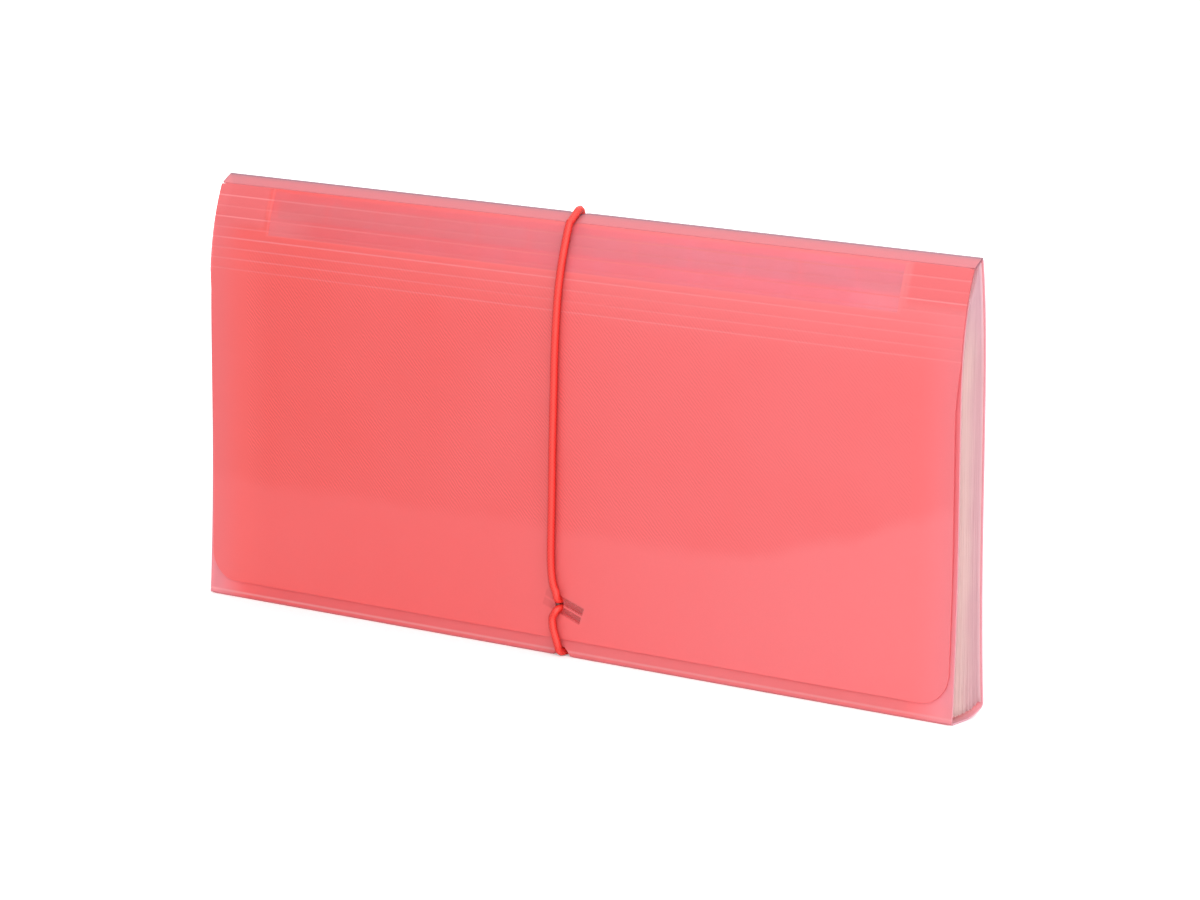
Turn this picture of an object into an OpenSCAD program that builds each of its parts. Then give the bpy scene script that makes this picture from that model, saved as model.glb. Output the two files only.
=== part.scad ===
// Expanding coupon organizer: a creased cover sheet, thirteen pockets between two accordion
// gussets, twelve dividers with tabs and labels, and an elastic cord knotted through the flap.
// X runs along the length, Y from the flap to the back, Z up from the floor.

/* [Wallet] */
// Length of the wallet
wallet_w = 266.7; // [200:0.1:330]
// Height of the crease at the back of the top edge
wallet_h = 127; // [105:0.5:160]
// Depth over the two covers at the foot
foot_depth = 16.1; // [15:0.1:24]
// Depth over the two covers at half height
waist_depth = 12.6; // [11.5:0.1:15]
// Height up to which the covers flare out towards the foot
foot_rise = 55; // [40:1:58]

/* [Cover sheet] */
// Thickness of the cover sheet
sheet_t = 0.5; // [0.4:0.05:0.6]
// Clearance between sheets that lie on each other
sheet_gap = 0.15; // [0.1:0.01:0.2]
// Clearance across a crease
crease_gap = 0.25; // [0.2:0.01:0.3]

/* [Top edge] */
// Height over which the covers draw in to the top edge
crown_h = 47; // [38:1:50]
// Back crease, behind the middle of the wallet
back_crease_y = 3.9; // [3.4:0.1:4.6]
// Flap's crease, before the middle of the wallet
flap_crease_y = 0.7; // [0.5:0.1:1.5]
// Drop of the flap's crease below the back crease
flap_crease_drop = 2.6; // [2:0.1:3.2]

/* [Flap] */
// Height of the flap's hem above the floor
flap_hem_z = 5; // [4:0.1:8]
// Radius of the flap's lower corners
flap_corner_r = 9; // [5:0.5:14]
// Inset of the flap's side edges from the wallet's ends
flap_inset = 1.2; // [0.5:0.1:3]
// Height over which the flap narrows to that inset
flap_taper_h = 14; // [8:1:20]
// Number of scored lines under the flap's crease
score_count = 8; // [4:1:9]
// Distance between scored lines
score_pitch = 3.05; // [2.5:0.05:3.2]
// Distance of the first scored line below the crease
score_first = 3.3; // [2.5:0.1:4]
// Depth of a scored line
score_depth = 0.12; // [0.05:0.01:0.2]
// Width of a scored line
score_w = 0.5; // [0.3:0.05:0.8]

/* [Pockets] */
// Number of dividers
divider_count = 12; // [6:1:12]
// Thickness of a divider
divider_t = 0.25; // [0.15:0.01:0.3]
// Drop of the dividers' top edge below the top of the wallet
divider_drop = 16.6; // [16:0.1:22]
// Drop of the front cover's and the gussets' top edge below the top of the wallet
pocket_drop = 11; // [10:0.5:14]
// Depth of a gusset's pleats along the wallet
pleat_depth = 14.1; // [9:0.1:20]
// Thickness of the gusset sheet
gusset_t = 0.1; // [0.08:0.01:0.12]
// Distance of the pleats from the wallet's ends
gusset_inset = 0.8; // [0.4:0.1:3]
// Height of the gussets' foot above the bottom panel
gusset_lift = 1.2; // [0.8:0.1:2.5]
// Clearance between a gusset and what lies beside it
gusset_gap = 0.2; // [0.15:0.01:0.3]

/* [Tabs and labels] */
// Width of one tab and the space beside it
tab_pitch = 18.6; // [14:0.1:19.4]
// Space between neighbouring tabs
tab_space = 0.6; // [0.3:0.1:2]
// Drop of the tabs' top edge below the top of the wallet
tab_drop = 4.9; // [4.6:0.1:7]
// Thickness of a tab over both its walls
tab_t = 0.5; // [0.46:0.01:0.56]
// Thickness of a tab's wall
tab_wall = 0.14; // [0.1:0.01:0.16]
// Thickness of a label
label_t = 0.16; // [0.1:0.01:0.17]
// Border of the tab around its label
label_border = 0.9; // [0.5:0.1:1.5]
// Top of the first tab, behind the middle of the wallet
tab_top_first_y = 1.2; // [1:0.05:2.1]
// Top of the last tab, behind the middle of the wallet
tab_top_last_y = 3.1; // [2.4:0.05:3.3]

/* [Cord] */
// Diameter of the elastic cord
cord_d = 2.3; // [1.8:0.05:2.6]
// Clearance around the cord where the sheet is dented by it
cord_gap = 0.3; // [0.2:0.05:0.4]
// Place of the cord along the wallet where it passes under the foot
cord_foot_x = 0.6; // [-40:0.1:40]
// Place along the wallet of the hole in the flap
hole_x = -0.5; // [-40:0.5:40]
// Height of the hole in the flap
hole_z = 15; // [14:0.5:30]
// Distance between the two strands in the hole, centre to centre
strand_pitch = 2.7; // [2.5:0.05:3.2]

/* [Barbs] */
// Length of a barb
barb_len = 14.4; // [10:0.1:18]
// Height of a barb's flattened bar
barb_w = 1.9; // [1.4:0.1:2.2]
// Thickness of a barb
barb_t = 1.1; // [0.8:0.05:1.3]
// Slope of the barbs below the horizontal, in degrees
barb_slope = 18; // [0:1:30]
// Share of a barb's length that lies before its cord
barb_share = 0.4; // [0.25:0.01:0.5]
// Clearance of the barbs from the sheets around them
barb_gap = 0.1; // [0.08:0.01:0.15]

/* [Hidden] */
piece_numbers = [for (i = [1 : divider_count]) i];

cover_colour = [0.96, 0.42, 0.42, 0.6];
inner_colour = [0.97, 0.62, 0.6, 0.6];
pleat_colour = [0.93, 0.76, 0.73, 0.7];
tab_colour = [0.95, 0.9, 0.9, 0.5];
label_colour = [0.97, 0.96, 0.95];
cord_colour = [0.86, 0.12, 0.12];
metal_colour = [0.62, 0.6, 0.59];

pocket_count = divider_count + 1;
crown_z = wallet_h - crown_h;
flap_crease_z = wallet_h - flap_crease_drop;
flap_standoff = sheet_t + sheet_gap;
divider_top_z = wallet_h - divider_drop;
pocket_top_z = wallet_h - pocket_drop;
tab_top_z = wallet_h - tab_drop;
cord_r = cord_d / 2;

// The sheet's dent over the cord under the foot, and what has to stay above it.
dent_w = cord_d + 2 * cord_gap;
dent_h = cord_d + cord_gap;
dent_top_z = dent_h + sheet_t;
divider_foot_z = dent_top_z + cord_gap;
gusset_foot_z = sheet_t + gusset_lift;

// Each crease turns about the middle of the sheet's thickness: [y, z] of its axis.
crease_reach = sheet_t / 2 + crease_gap;
back_axis = [back_crease_y - sheet_t / 2, wallet_h - sheet_t / 2];
flap_axis = [-flap_crease_y + sheet_t / 2, flap_crease_z - sheet_t / 2];
foot_axis = [front_face(0) + sheet_t / 2, sheet_t / 2];

// The hole takes both strands of the cord side by side.
hole_r = strand_pitch / 2 + cord_r + 0.2;

// The barbs lie flat behind the flap, in a dent of the front cover.
barb_front_y = flap_face(hole_z + 5) + sheet_t + barb_gap;
barb_dent_y = barb_front_y + barb_t + barb_gap;
barb_dent_back_y = barb_dent_y + sheet_t;
barb_dent_margin = 0.8;

gusset_outer_x = wallet_w / 2 - gusset_inset;
gusset_inner_x = gusset_outer_x - pleat_depth;
divider_half_w = gusset_inner_x - 0.1;

// How far the covers stand out at height z, and how far they draw in under the top edge.
function foot_flare(z) = (foot_depth - waist_depth) / 2 * pow(max(0, 1 - z / foot_rise), 2);
function crown_draw(z, top, amount) = amount * pow(max(0, (z - crown_z) / (top - crown_z)), 3);

// Outer faces of the flap, the front cover and the back cover: y at height z.
function flap_face(z) =
    -(waist_depth / 2 + flap_standoff + foot_flare(z))
    + crown_draw(z, flap_crease_z, waist_depth / 2 + flap_standoff - flap_crease_y);
function front_face(z) = flap_face(z) + flap_standoff;
function back_face(z) =
    waist_depth / 2 + foot_flare(z) - crown_draw(z, wallet_h, waist_depth / 2 - back_crease_y);

// Heights between two limits at which a curved sheet bends.
function stations(low, high) = concat(
    [low],
    [for (z = [10 : 10 : crown_z]) if (z > low + 1 && z < high - 1) z],
    [for (z = [crown_z + 4 : 4 : wallet_h]) if (z > low + 1 && z < high - 1) z],
    [high]
);

function reversed(list) = [for (i = [len(list) - 1 : -1 : 0]) list[i]];
function numbered(name, i) = str(name, i < 10 ? "_0" : "_", i);
function mix(a, b, share) = a + (b - a) * share;

// Where divider i stands at its foot and at its top edge; number 0 and the last are the covers.
first_foot_y = barb_dent_back_y + gusset_gap + divider_t / 2;
last_foot_y = back_face(divider_foot_z) - sheet_t;
front_top_y = front_face(divider_top_z) + sheet_t;
back_top_y = back_face(divider_top_z) - sheet_t;
function divider_foot_y(i) = mix(first_foot_y, last_foot_y, (i - 1) / divider_count);
function divider_top_y(i) = mix(front_top_y, back_top_y, i / pocket_count);

// Where the top of tab i stands, its slope, and the middle of its width along the wallet.
function tab_top_y(i) = mix(tab_top_first_y, tab_top_last_y, (i - 1) / (divider_count - 1));
function tab_slope(i) = atan2(tab_top_y(i) - divider_top_y(i), tab_top_z - divider_top_z);
function tab_x(i) = (i - (divider_count + 1) / 2) * tab_pitch;

// An outline in Y and Z, drawn out along X over a width about the middle.
module along_x(width) {
    translate([-width / 2, 0, 0]) rotate([90, 0, 90]) linear_extrude(width) children();
}

// A shape in X and Z, drawn out along Y between two places.
module along_y(from, to) {
    translate([0, to, 0]) rotate([90, 0, 0]) linear_extrude(to - from) children();
}

// The sheet's own edge at a crease: a bead as thick as the sheet, about the crease's axis.
module crease_bead(axis, width) {
    translate([-width / 2, axis[0], axis[1]]) rotate([0, 90, 0]) cylinder(h = width, d = sheet_t, $fn = 32);
}

// Room for the cord and the bottom panel's dent, cut out of a cover's lower edge.
module cord_notch() {
    half = dent_w / 2 + sheet_t + sheet_gap;
    translate([cord_foot_x - half, -foot_depth, -1])
        cube([2 * half, 2 * foot_depth, 1 + dent_top_z + sheet_gap]);
}

module back_cover() {
    zs = stations(0, back_axis[1] - crease_reach);
    color(cover_colour)
        difference() {
            along_x(wallet_w)
                polygon(concat(
                    [for (z = zs) [back_face(z), z]],
                    reversed([for (z = zs) [back_face(z) - sheet_t, z]])));
            cord_notch();
        }
}

// Flat at both sides, with a dent across it that takes the cord.
module bottom_panel() {
    half = wallet_w / 2;
    left = cord_foot_x - dent_w / 2;
    right = cord_foot_x + dent_w / 2;
    color(cover_colour)
        along_y(foot_axis[0] + crease_reach, back_face(sheet_t) - sheet_t)
            polygon([
                [-half, 0], [left, 0], [left, dent_h], [right, dent_h], [right, 0], [half, 0],
                [half, sheet_t], [right + sheet_t, sheet_t], [right + sheet_t, dent_top_z],
                [left - sheet_t, dent_top_z], [left - sheet_t, sheet_t], [-half, sheet_t]]);
}

// Places its children at the hole, turned along the barbs.
module at_barbs() {
    translate([hole_x, 0, hole_z]) rotate([0, barb_slope, 0]) children();
}

// The outline of the dent that holds both barbs, wider by a margin.
module barb_dent(from, to, margin) {
    span = strand_pitch * cos(barb_slope) + barb_w + 2 * (barb_dent_margin + margin);
    reach = barb_len + strand_pitch * sin(barb_slope) + 2 * (barb_dent_margin + margin);
    middle = (0.5 - barb_share) * barb_len;
    at_barbs() translate([middle - reach / 2, from, -span / 2]) cube([reach, to - from, span]);
}

module front_cover() {
    zs = stations(foot_axis[1], pocket_top_z);
    outer = [for (z = zs) [front_face(z), z]];
    color(cover_colour)
        difference() {
            union() {
                along_x(wallet_w)
                    polygon(concat(outer, reversed([for (p = outer) [p[0] + sheet_t, p[1]]])));
                intersection() {
                    along_x(wallet_w)
                        polygon(concat(outer, reversed([for (p = outer) [barb_dent_back_y, p[1]]])));
                    barb_dent(-foot_depth, barb_dent_back_y, sheet_t);
                }
                crease_bead(foot_axis, wallet_w);
            }
            barb_dent(-foot_depth, barb_dent_y, 0);
            cord_notch();
        }
}

// From a bead at the back crease to just short of the flap's crease.
module top_strip() {
    span = flap_axis - back_axis;
    length = norm(span);
    color(cover_colour)
        union() {
            crease_bead(back_axis, wallet_w);
            translate([0, back_axis[0], back_axis[1]])
                rotate([atan2(span[1], span[0]), 0, 0])
                    translate([-wallet_w / 2, 0, -sheet_t / 2])
                        cube([wallet_w, length - crease_reach, sheet_t]);
        }
}

// Heights of the scored lines, from the lowest up.
function scores() =
    [for (i = [score_count - 1 : -1 : 0]) flap_crease_z - score_first - i * score_pitch];

// The flap's outer face from its hem to its crease, with a groove at each scored line.
function flap_outline(low, high) = concat(
    [for (z = stations(low, scores()[0] - score_pitch / 2)) [flap_face(z), z]],
    [for (z = scores(), side = [-1, 0, 1])
        [flap_face(z + side * score_w / 2) + (side == 0 ? score_depth : 0), z + side * score_w / 2]],
    [[flap_face(high), high]]
);

// The flap seen from the front: full width at its crease, narrower below, with round corners.
function flap_shape() =
    let (
        half = wallet_w / 2,
        narrow = half - flap_inset,
        taper_z = scores()[0],
        right = concat(
            [for (a = [-90 : 15 : 0]) [narrow - flap_corner_r + flap_corner_r * cos(a),
                flap_hem_z + flap_corner_r + flap_corner_r * sin(a)]],
            [[narrow, taper_z - flap_taper_h], [half, taper_z], [half, wallet_h]])
    )
    concat(right, reversed([for (p = right) [-p[0], p[1]]]));

module flap() {
    outer = flap_outline(flap_hem_z, flap_axis[1]);
    color(cover_colour)
        difference() {
            union() {
                intersection() {
                    along_x(wallet_w)
                        polygon(concat(outer, [
                            for (z = reversed(stations(flap_hem_z, flap_axis[1]))) [flap_face(z) + sheet_t, z]]));
                    along_y(-foot_depth, foot_depth) polygon(flap_shape());
                }
                crease_bead(flap_axis, wallet_w);
            }
            translate([hole_x, 0, hole_z]) rotate([90, 0, 0]) cylinder(h = foot_depth, r = hole_r, $fn = 48);
        }
}

// Fold lines of a gusset at height z: number 0 lies on the front cover, the last on the back cover.
function fold_y(k, z) = mix(
    front_face(z) + sheet_t + gusset_gap + gusset_t / 2,
    back_face(z) - sheet_t - gusset_gap - gusset_t / 2,
    k / pocket_count);

// One level of the pleated sheet: out and back once for each pocket. Each fold has two corners
// outside and one inside, and the inside one lies back where the two legs part.
function pleat_level(z) =
    let (
        half_t = gusset_t / 2,
        half_pitch = (fold_y(1, z) - fold_y(0, z)) / 2,
        corner = pleat_depth * half_t / half_pitch,
        outside = concat(
            [[gusset_inner_x, fold_y(0, z) - half_t, z]],
            [for (k = [0 : pocket_count - 1], part = [0 : (k < pocket_count - 1 ? 2 : 1)])
                part < 2
                ? [gusset_outer_x, fold_y(k + 0.5, z) + (part == 0 ? -half_t : half_t), z]
                : [gusset_inner_x + corner, fold_y(k + 1, z), z]],
            [[gusset_inner_x, fold_y(pocket_count, z) + half_t, z]]),
        inside = concat(
            [[gusset_inner_x, fold_y(0, z) + half_t, z]],
            [for (k = [0 : pocket_count - 1], part = [0 : (k < pocket_count - 1 ? 2 : 0)])
                part == 0
                ? [gusset_outer_x - corner, fold_y(k + 0.5, z), z]
                : [gusset_inner_x, fold_y(k + 1, z) + (part == 1 ? -half_t : half_t), z]],
            [[gusset_inner_x, fold_y(pocket_count, z) - half_t, z]])
    )
    concat(outside, reversed(inside));

// Faces that close the end of a pleated sheet: for each pocket two legs and two folds.
pleat_caps = let (n = 6 * pocket_count) [
    for (m = [0 : 3 : n / 2 - 1], part = [0 : (m < n / 2 - 3 ? 3 : 2)])
        part == 0 ? [m, m + 1, n - m - 1, n - m]
        : part == 1 ? [m + 1, m + 2, n - m - 1]
        : part == 2 ? [m + 2, m + 3, n - m - 2, n - m - 1]
        : [m + 3, n - m - 3, n - m - 2]];

// A closed solid through rings of points. The caps are the faces that close its first ring.
module through_rings(rings, caps) {
    n = len(rings[0]);
    last = (len(rings) - 1) * n;
    polyhedron(
        points = [for (ring = rings) each ring],
        faces = concat(
            caps,
            [for (j = [0 : len(rings) - 2], i = [0 : n - 1], half = [0, 1])
                half == 0
                ? [j * n + i, (j + 1) * n + i, j * n + (i + 1) % n]
                : [j * n + (i + 1) % n, (j + 1) * n + i, (j + 1) * n + (i + 1) % n]],
            [for (cap = caps) [for (i = reversed(cap)) last + i]]),
        convexity = 10);
}

gusset_levels = [gusset_foot_z, 20, 40, 60, crown_z,
    mix(crown_z, pocket_top_z, 0.35), mix(crown_z, pocket_top_z, 0.7), pocket_top_z];

module gusset_right() {
    color(pleat_colour) through_rings([for (z = gusset_levels) pleat_level(z)], pleat_caps);
}

module gusset_left() {
    color(pleat_colour)
        mirror([1, 0, 0]) through_rings([for (z = gusset_levels) pleat_level(z)], pleat_caps);
}

// A flat sheet that leans from its foot to its top edge.
module divider(i) {
    foot = divider_foot_y(i);
    top = divider_top_y(i);
    half_t = divider_t / 2;
    color(inner_colour)
        along_x(2 * divider_half_w)
            polygon([
                [foot - half_t, divider_foot_z], [foot + half_t, divider_foot_z],
                [top + half_t, divider_top_z], [top - half_t, divider_top_z]]);
}

// Places its children on the top edge of divider i, sloping as its tab does.
module on_divider(i) {
    clear = tab_t / 2 * sin(abs(tab_slope(i))) + 0.02;
    translate([tab_x(i), divider_top_y(i), divider_top_z + clear])
        rotate([-tab_slope(i), 0, 0]) children();
}

function tab_height(i) = (tab_top_z - divider_top_z) / cos(tab_slope(i)) - tab_t;

// A flat sleeve, open at both ends.
module tab(i) {
    width = tab_pitch - tab_space;
    slot = tab_t - 2 * tab_wall;
    color(tab_colour)
        on_divider(i)
            difference() {
                translate([-width / 2, -tab_t / 2, 0]) cube([width, tab_t, tab_height(i)]);
                translate([-width, -slot / 2, label_border - 0.1])
                    cube([2 * width, slot, tab_height(i) - 2 * label_border + 0.2]);
            }
}

module label(i) {
    width = tab_pitch - tab_space - label_border;
    color(label_colour)
        on_divider(i)
            translate([-width / 2, -label_t / 2, label_border])
                cube([width, label_t, tab_height(i) - 2 * label_border]);
}

// A barb lies along X at the hole, with its cord at the given height.
module barb(side) {
    lead = barb_share * barb_len - barb_w / 2;
    tail = (1 - barb_share) * barb_len - barb_w / 2;
    color(metal_colour)
        translate([hole_x, barb_front_y, hole_z + side * strand_pitch / 2])
            rotate([0, barb_slope, 0])
                along_y(0, barb_t)
                    union() {
                        translate([-lead, -barb_w / 2]) square([lead + tail, barb_w]);
                        translate([-lead, 0]) circle(d = barb_w, $fn = 32);
                        translate([tail, 0]) circle(d = barb_w, $fn = 32);
                    }
}

// The cord lies on the flap at height z, on the back cover at height z, and in the foot's dent.
cord_clear = 0.1;
cord_front = cord_r + cord_clear;
function on_flap(x, z) = [x, flap_face(z) - cord_front, z];
function on_back(x, z) = [x, back_face(z) + cord_front, z];
cord_floor_z = cord_r;
strand_z = strand_pitch / 2;
cord_turn = 2;

// Where the cord goes: from the upper barb through the hole, up the flap, over the top edge,
// down the back, under the foot, and up the flap's hem to the hole and the lower barb.
cord_route = concat(
    [
        [hole_x, barb_front_y - 0.05, hole_z + strand_z],
        [hole_x, flap_face(hole_z), hole_z + strand_z],
        [hole_x, flap_face(hole_z) - cord_r, hole_z + strand_z + 0.6],
        on_flap(hole_x - 0.1, hole_z + strand_z + 2.4),
        on_flap(-1.2, hole_z + 6),
        on_flap(-2.3, hole_z + 13),
        on_flap(-3.05, 0.36 * wallet_h),
        on_flap(-2.9, 0.47 * wallet_h),
        on_flap(-2.5, 0.59 * wallet_h),
        on_flap(-2.15, 0.7 * wallet_h),
        on_flap(-1.85, wallet_h - 24),
        on_flap(-1.7, wallet_h - 15),
        on_flap(-1.6, wallet_h - 8)
    ],
    [for (p = [[-1.7, -1.5, 0.1], [-1.8, -0.9, 0.85]])
        [p[0], -flap_crease_y + p[1], flap_crease_z + p[2]]],
    [for (p = [[-2.3, -0.4, 1.3], [-2.5, 0.6, 1.15], [-2.6, 1.25, 0.5]])
        [p[0], back_crease_y + p[1], wallet_h + p[2]]],
    [
        on_back(-2.5, wallet_h - 7),
        on_back(-2.2, wallet_h - 16),
        on_back(-1.8, wallet_h - 30),
        on_back(-1.3, 0.63 * wallet_h),
        on_back(-0.9, 0.5 * wallet_h),
        on_back(-0.5, 0.38 * wallet_h),
        on_back(0, 0.25 * wallet_h),
        on_back(0.4, 18),
        on_back(cord_foot_x, 7)
    ],
    [for (a = [0 : 30 : 90]) [
        cord_foot_x,
        back_face(3) + cord_front - cord_turn * (1 - cos(a)),
        cord_floor_z + cord_turn * (1 - sin(a))]],
    [[cord_foot_x, 3, cord_floor_z], [cord_foot_x, -2, cord_floor_z]],
    [for (a = [90 : -30 : 0]) [
        cord_foot_x - 0.3 * cos(a),
        flap_face(5) - cord_front + cord_turn * (1 - cos(a)),
        cord_floor_z + cord_turn * (1 - sin(a))]],
    [
        on_flap(cord_foot_x - 1, 5.6),
        on_flap(-1.1, 8),
        on_flap(-1.7, hole_z - strand_z - 2.6),
        [hole_x - 0.2, flap_face(hole_z) - cord_r, hole_z - strand_z - 0.5],
        [hole_x, flap_face(hole_z), hole_z - strand_z],
        [hole_x, barb_front_y - 0.05, hole_z - strand_z]
    ]
);

// A smooth curve through the route's points, with one more point in each span that is long.
function spline_point(a, b, c, d, t) =
    0.5 * (2 * b + (c - a) * t + (2 * a - 5 * b + 4 * c - d) * t * t
        + (3 * b - a - 3 * c + d) * t * t * t);
cord_step = 8;
cord_line = let (p = cord_route, n = len(p)) concat(
    [for (i = [0 : n - 2], parts = [ceil(norm(p[i + 1] - p[i]) / cord_step)], s = [0 : parts - 1])
        spline_point(p[max(0, i - 1)], p[i], p[i + 1], p[min(n - 1, i + 2)], s / parts)],
    [p[n - 1]]);

function unit(v) = v / norm(v);

// A ring of the cord about point i, square to the way it runs there. The cord never runs along X.
function cord_ring(line, i, sides) =
    let (
        ahead = unit(line[min(len(line) - 1, i + 1)] - line[max(0, i - 1)]),
        across = unit([1, 0, 0] - ahead[0] * ahead),
        up = cross(ahead, across)
    )
    [for (a = [0 : sides - 1]) let (angle = (a + 0.5) * 360 / sides)
        line[i] + cord_r * (cos(angle) * across + sin(angle) * up)];

module elastic_cord() {
    sides = 8;
    color(cord_colour)
        through_rings(
            [for (i = [0 : len(cord_line) - 1]) cord_ring(cord_line, i, sides)],
            [[for (i = [0 : sides - 1]) i]]);
}

// The wallet stands a little behind the middle of its box, because the cord reaches further in front.
module placed() {
    translate([0, -(flap_face(flap_hem_z) + back_face(3)) / 2, 0]) children();
}

placed() back_cover();
placed() bottom_panel();
placed() front_cover();
placed() top_strip();
placed() flap();
placed() gusset_left();
placed() gusset_right();
placed() elastic_cord();
placed() barb(1);  // barb_upper
placed() barb(-1);  // barb_lower
for (i = piece_numbers) {
    placed() divider(i);
    placed() tab(i);
    placed() label(i);
}
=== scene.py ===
"""Looks of the coupon organizer wallet: frosted coral film, pale pleats, tabs with cards, a braided cord."""

import logging
import math
from collections.abc import Callable, Sequence
from dataclasses import dataclass
from enum import Enum

import bmesh
import bpy
import numpy as np
from mathutils import Matrix, Vector

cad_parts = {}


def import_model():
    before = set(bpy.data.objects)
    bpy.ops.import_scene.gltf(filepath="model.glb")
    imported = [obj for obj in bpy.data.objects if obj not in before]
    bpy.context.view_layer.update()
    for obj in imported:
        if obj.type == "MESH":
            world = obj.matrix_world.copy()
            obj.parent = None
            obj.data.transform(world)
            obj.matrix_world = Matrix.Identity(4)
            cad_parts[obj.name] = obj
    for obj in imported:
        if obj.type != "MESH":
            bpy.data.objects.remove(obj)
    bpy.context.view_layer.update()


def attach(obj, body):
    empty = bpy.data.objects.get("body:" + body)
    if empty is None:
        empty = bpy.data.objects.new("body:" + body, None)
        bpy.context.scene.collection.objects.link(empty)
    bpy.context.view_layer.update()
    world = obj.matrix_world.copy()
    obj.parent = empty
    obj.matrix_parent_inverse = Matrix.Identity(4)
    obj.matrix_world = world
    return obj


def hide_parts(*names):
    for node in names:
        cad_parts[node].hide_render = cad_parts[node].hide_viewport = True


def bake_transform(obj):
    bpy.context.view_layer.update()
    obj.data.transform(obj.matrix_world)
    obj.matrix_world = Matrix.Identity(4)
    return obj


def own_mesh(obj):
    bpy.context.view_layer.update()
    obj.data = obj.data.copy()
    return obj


Array = np.ndarray
Colour = tuple[float, float, float]
Point = tuple[float, float, float]
MM = 0.001
FULL_TURN = 2 * math.pi
WHITE = (1.0, 1.0, 1.0)
log = logging.getLogger("wallet")


# ---------------------------------------------------------------- shader graph


class Value:
    """A value socket of a material, with arithmetic that adds Math nodes."""

    def __init__(self, graph: "Graph", socket: bpy.types.NodeSocket) -> None:
        """Wraps one output socket of a graph."""
        self.graph = graph
        self.socket = socket

    def math(self, operation: str, *operands: "Value | float", clamp: bool = False) -> "Value":
        """Adds a Math node.

        Args:
            operation: The node's operation.
            operands: Its inputs in order.
            clamp: Whether its result is kept from 0 to 1.

        Returns:
            The node's result.
        """
        made = self.graph.node(
            "ShaderNodeMath", {"operation": operation, "use_clamp": clamp}, dict(enumerate(operands))
        )
        return Value(self.graph, made.outputs[0])

    def __add__(self, other: "Value | float") -> "Value":
        """self + other."""
        return self.math("ADD", self, other)

    def __radd__(self, other: float) -> "Value":
        """other + self."""
        return self.math("ADD", other, self)

    def __sub__(self, other: "Value | float") -> "Value":
        """self - other."""
        return self.math("SUBTRACT", self, other)

    def __rsub__(self, other: float) -> "Value":
        """other - self."""
        return self.math("SUBTRACT", other, self)

    def __mul__(self, other: "Value | float") -> "Value":
        """self * other."""
        return self.math("MULTIPLY", self, other)

    def __rmul__(self, other: float) -> "Value":
        """other * self."""
        return self.math("MULTIPLY", other, self)

    def __truediv__(self, other: "Value | float") -> "Value":
        """self / other."""
        return self.math("DIVIDE", self, other)

    def __pow__(self, other: float) -> "Value":
        """self to a power, for values from 0 up."""
        return self.math("POWER", self, other)

    def __abs__(self) -> "Value":
        """The value without its sign."""
        return self.math("ABSOLUTE", self)

    def sine(self) -> "Value":
        """The sine of the value in radians."""
        return self.math("SINE", self)

    def limited(self) -> "Value":
        """The value kept from 0 to 1."""
        return self.math("ADD", self, 0.0, clamp=True)

    def larger(self, other: "Value | float") -> "Value":
        """The larger of two values."""
        return self.math("MAXIMUM", self, other)

    def rise(self, low: float, high: float) -> "Value":
        """A smooth step.

        Args:
            low: Where the step begins.
            high: Where it ends; below low for a step that falls.

        Returns:
            0 before the step and 1 after it.
        """
        ends = (low, high, 0.0, 1.0) if low < high else (high, low, 1.0, 0.0)
        names = ("From Min", "From Max", "To Min", "To Max")
        made = self.graph.node(
            "ShaderNodeMapRange",
            {"interpolation_type": "SMOOTHSTEP"},
            {"Value": self, **dict(zip(names, ends))},
        )
        return Value(self.graph, made.outputs["Result"])

    def hump(self, middle: float, reach: float) -> "Value":
        """1 at a place, falling smoothly to 0 at a distance from it."""
        return abs(self - middle).rise(reach, 0.0)


Source = Value | bpy.types.NodeSocket | float | Sequence[float]


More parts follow.
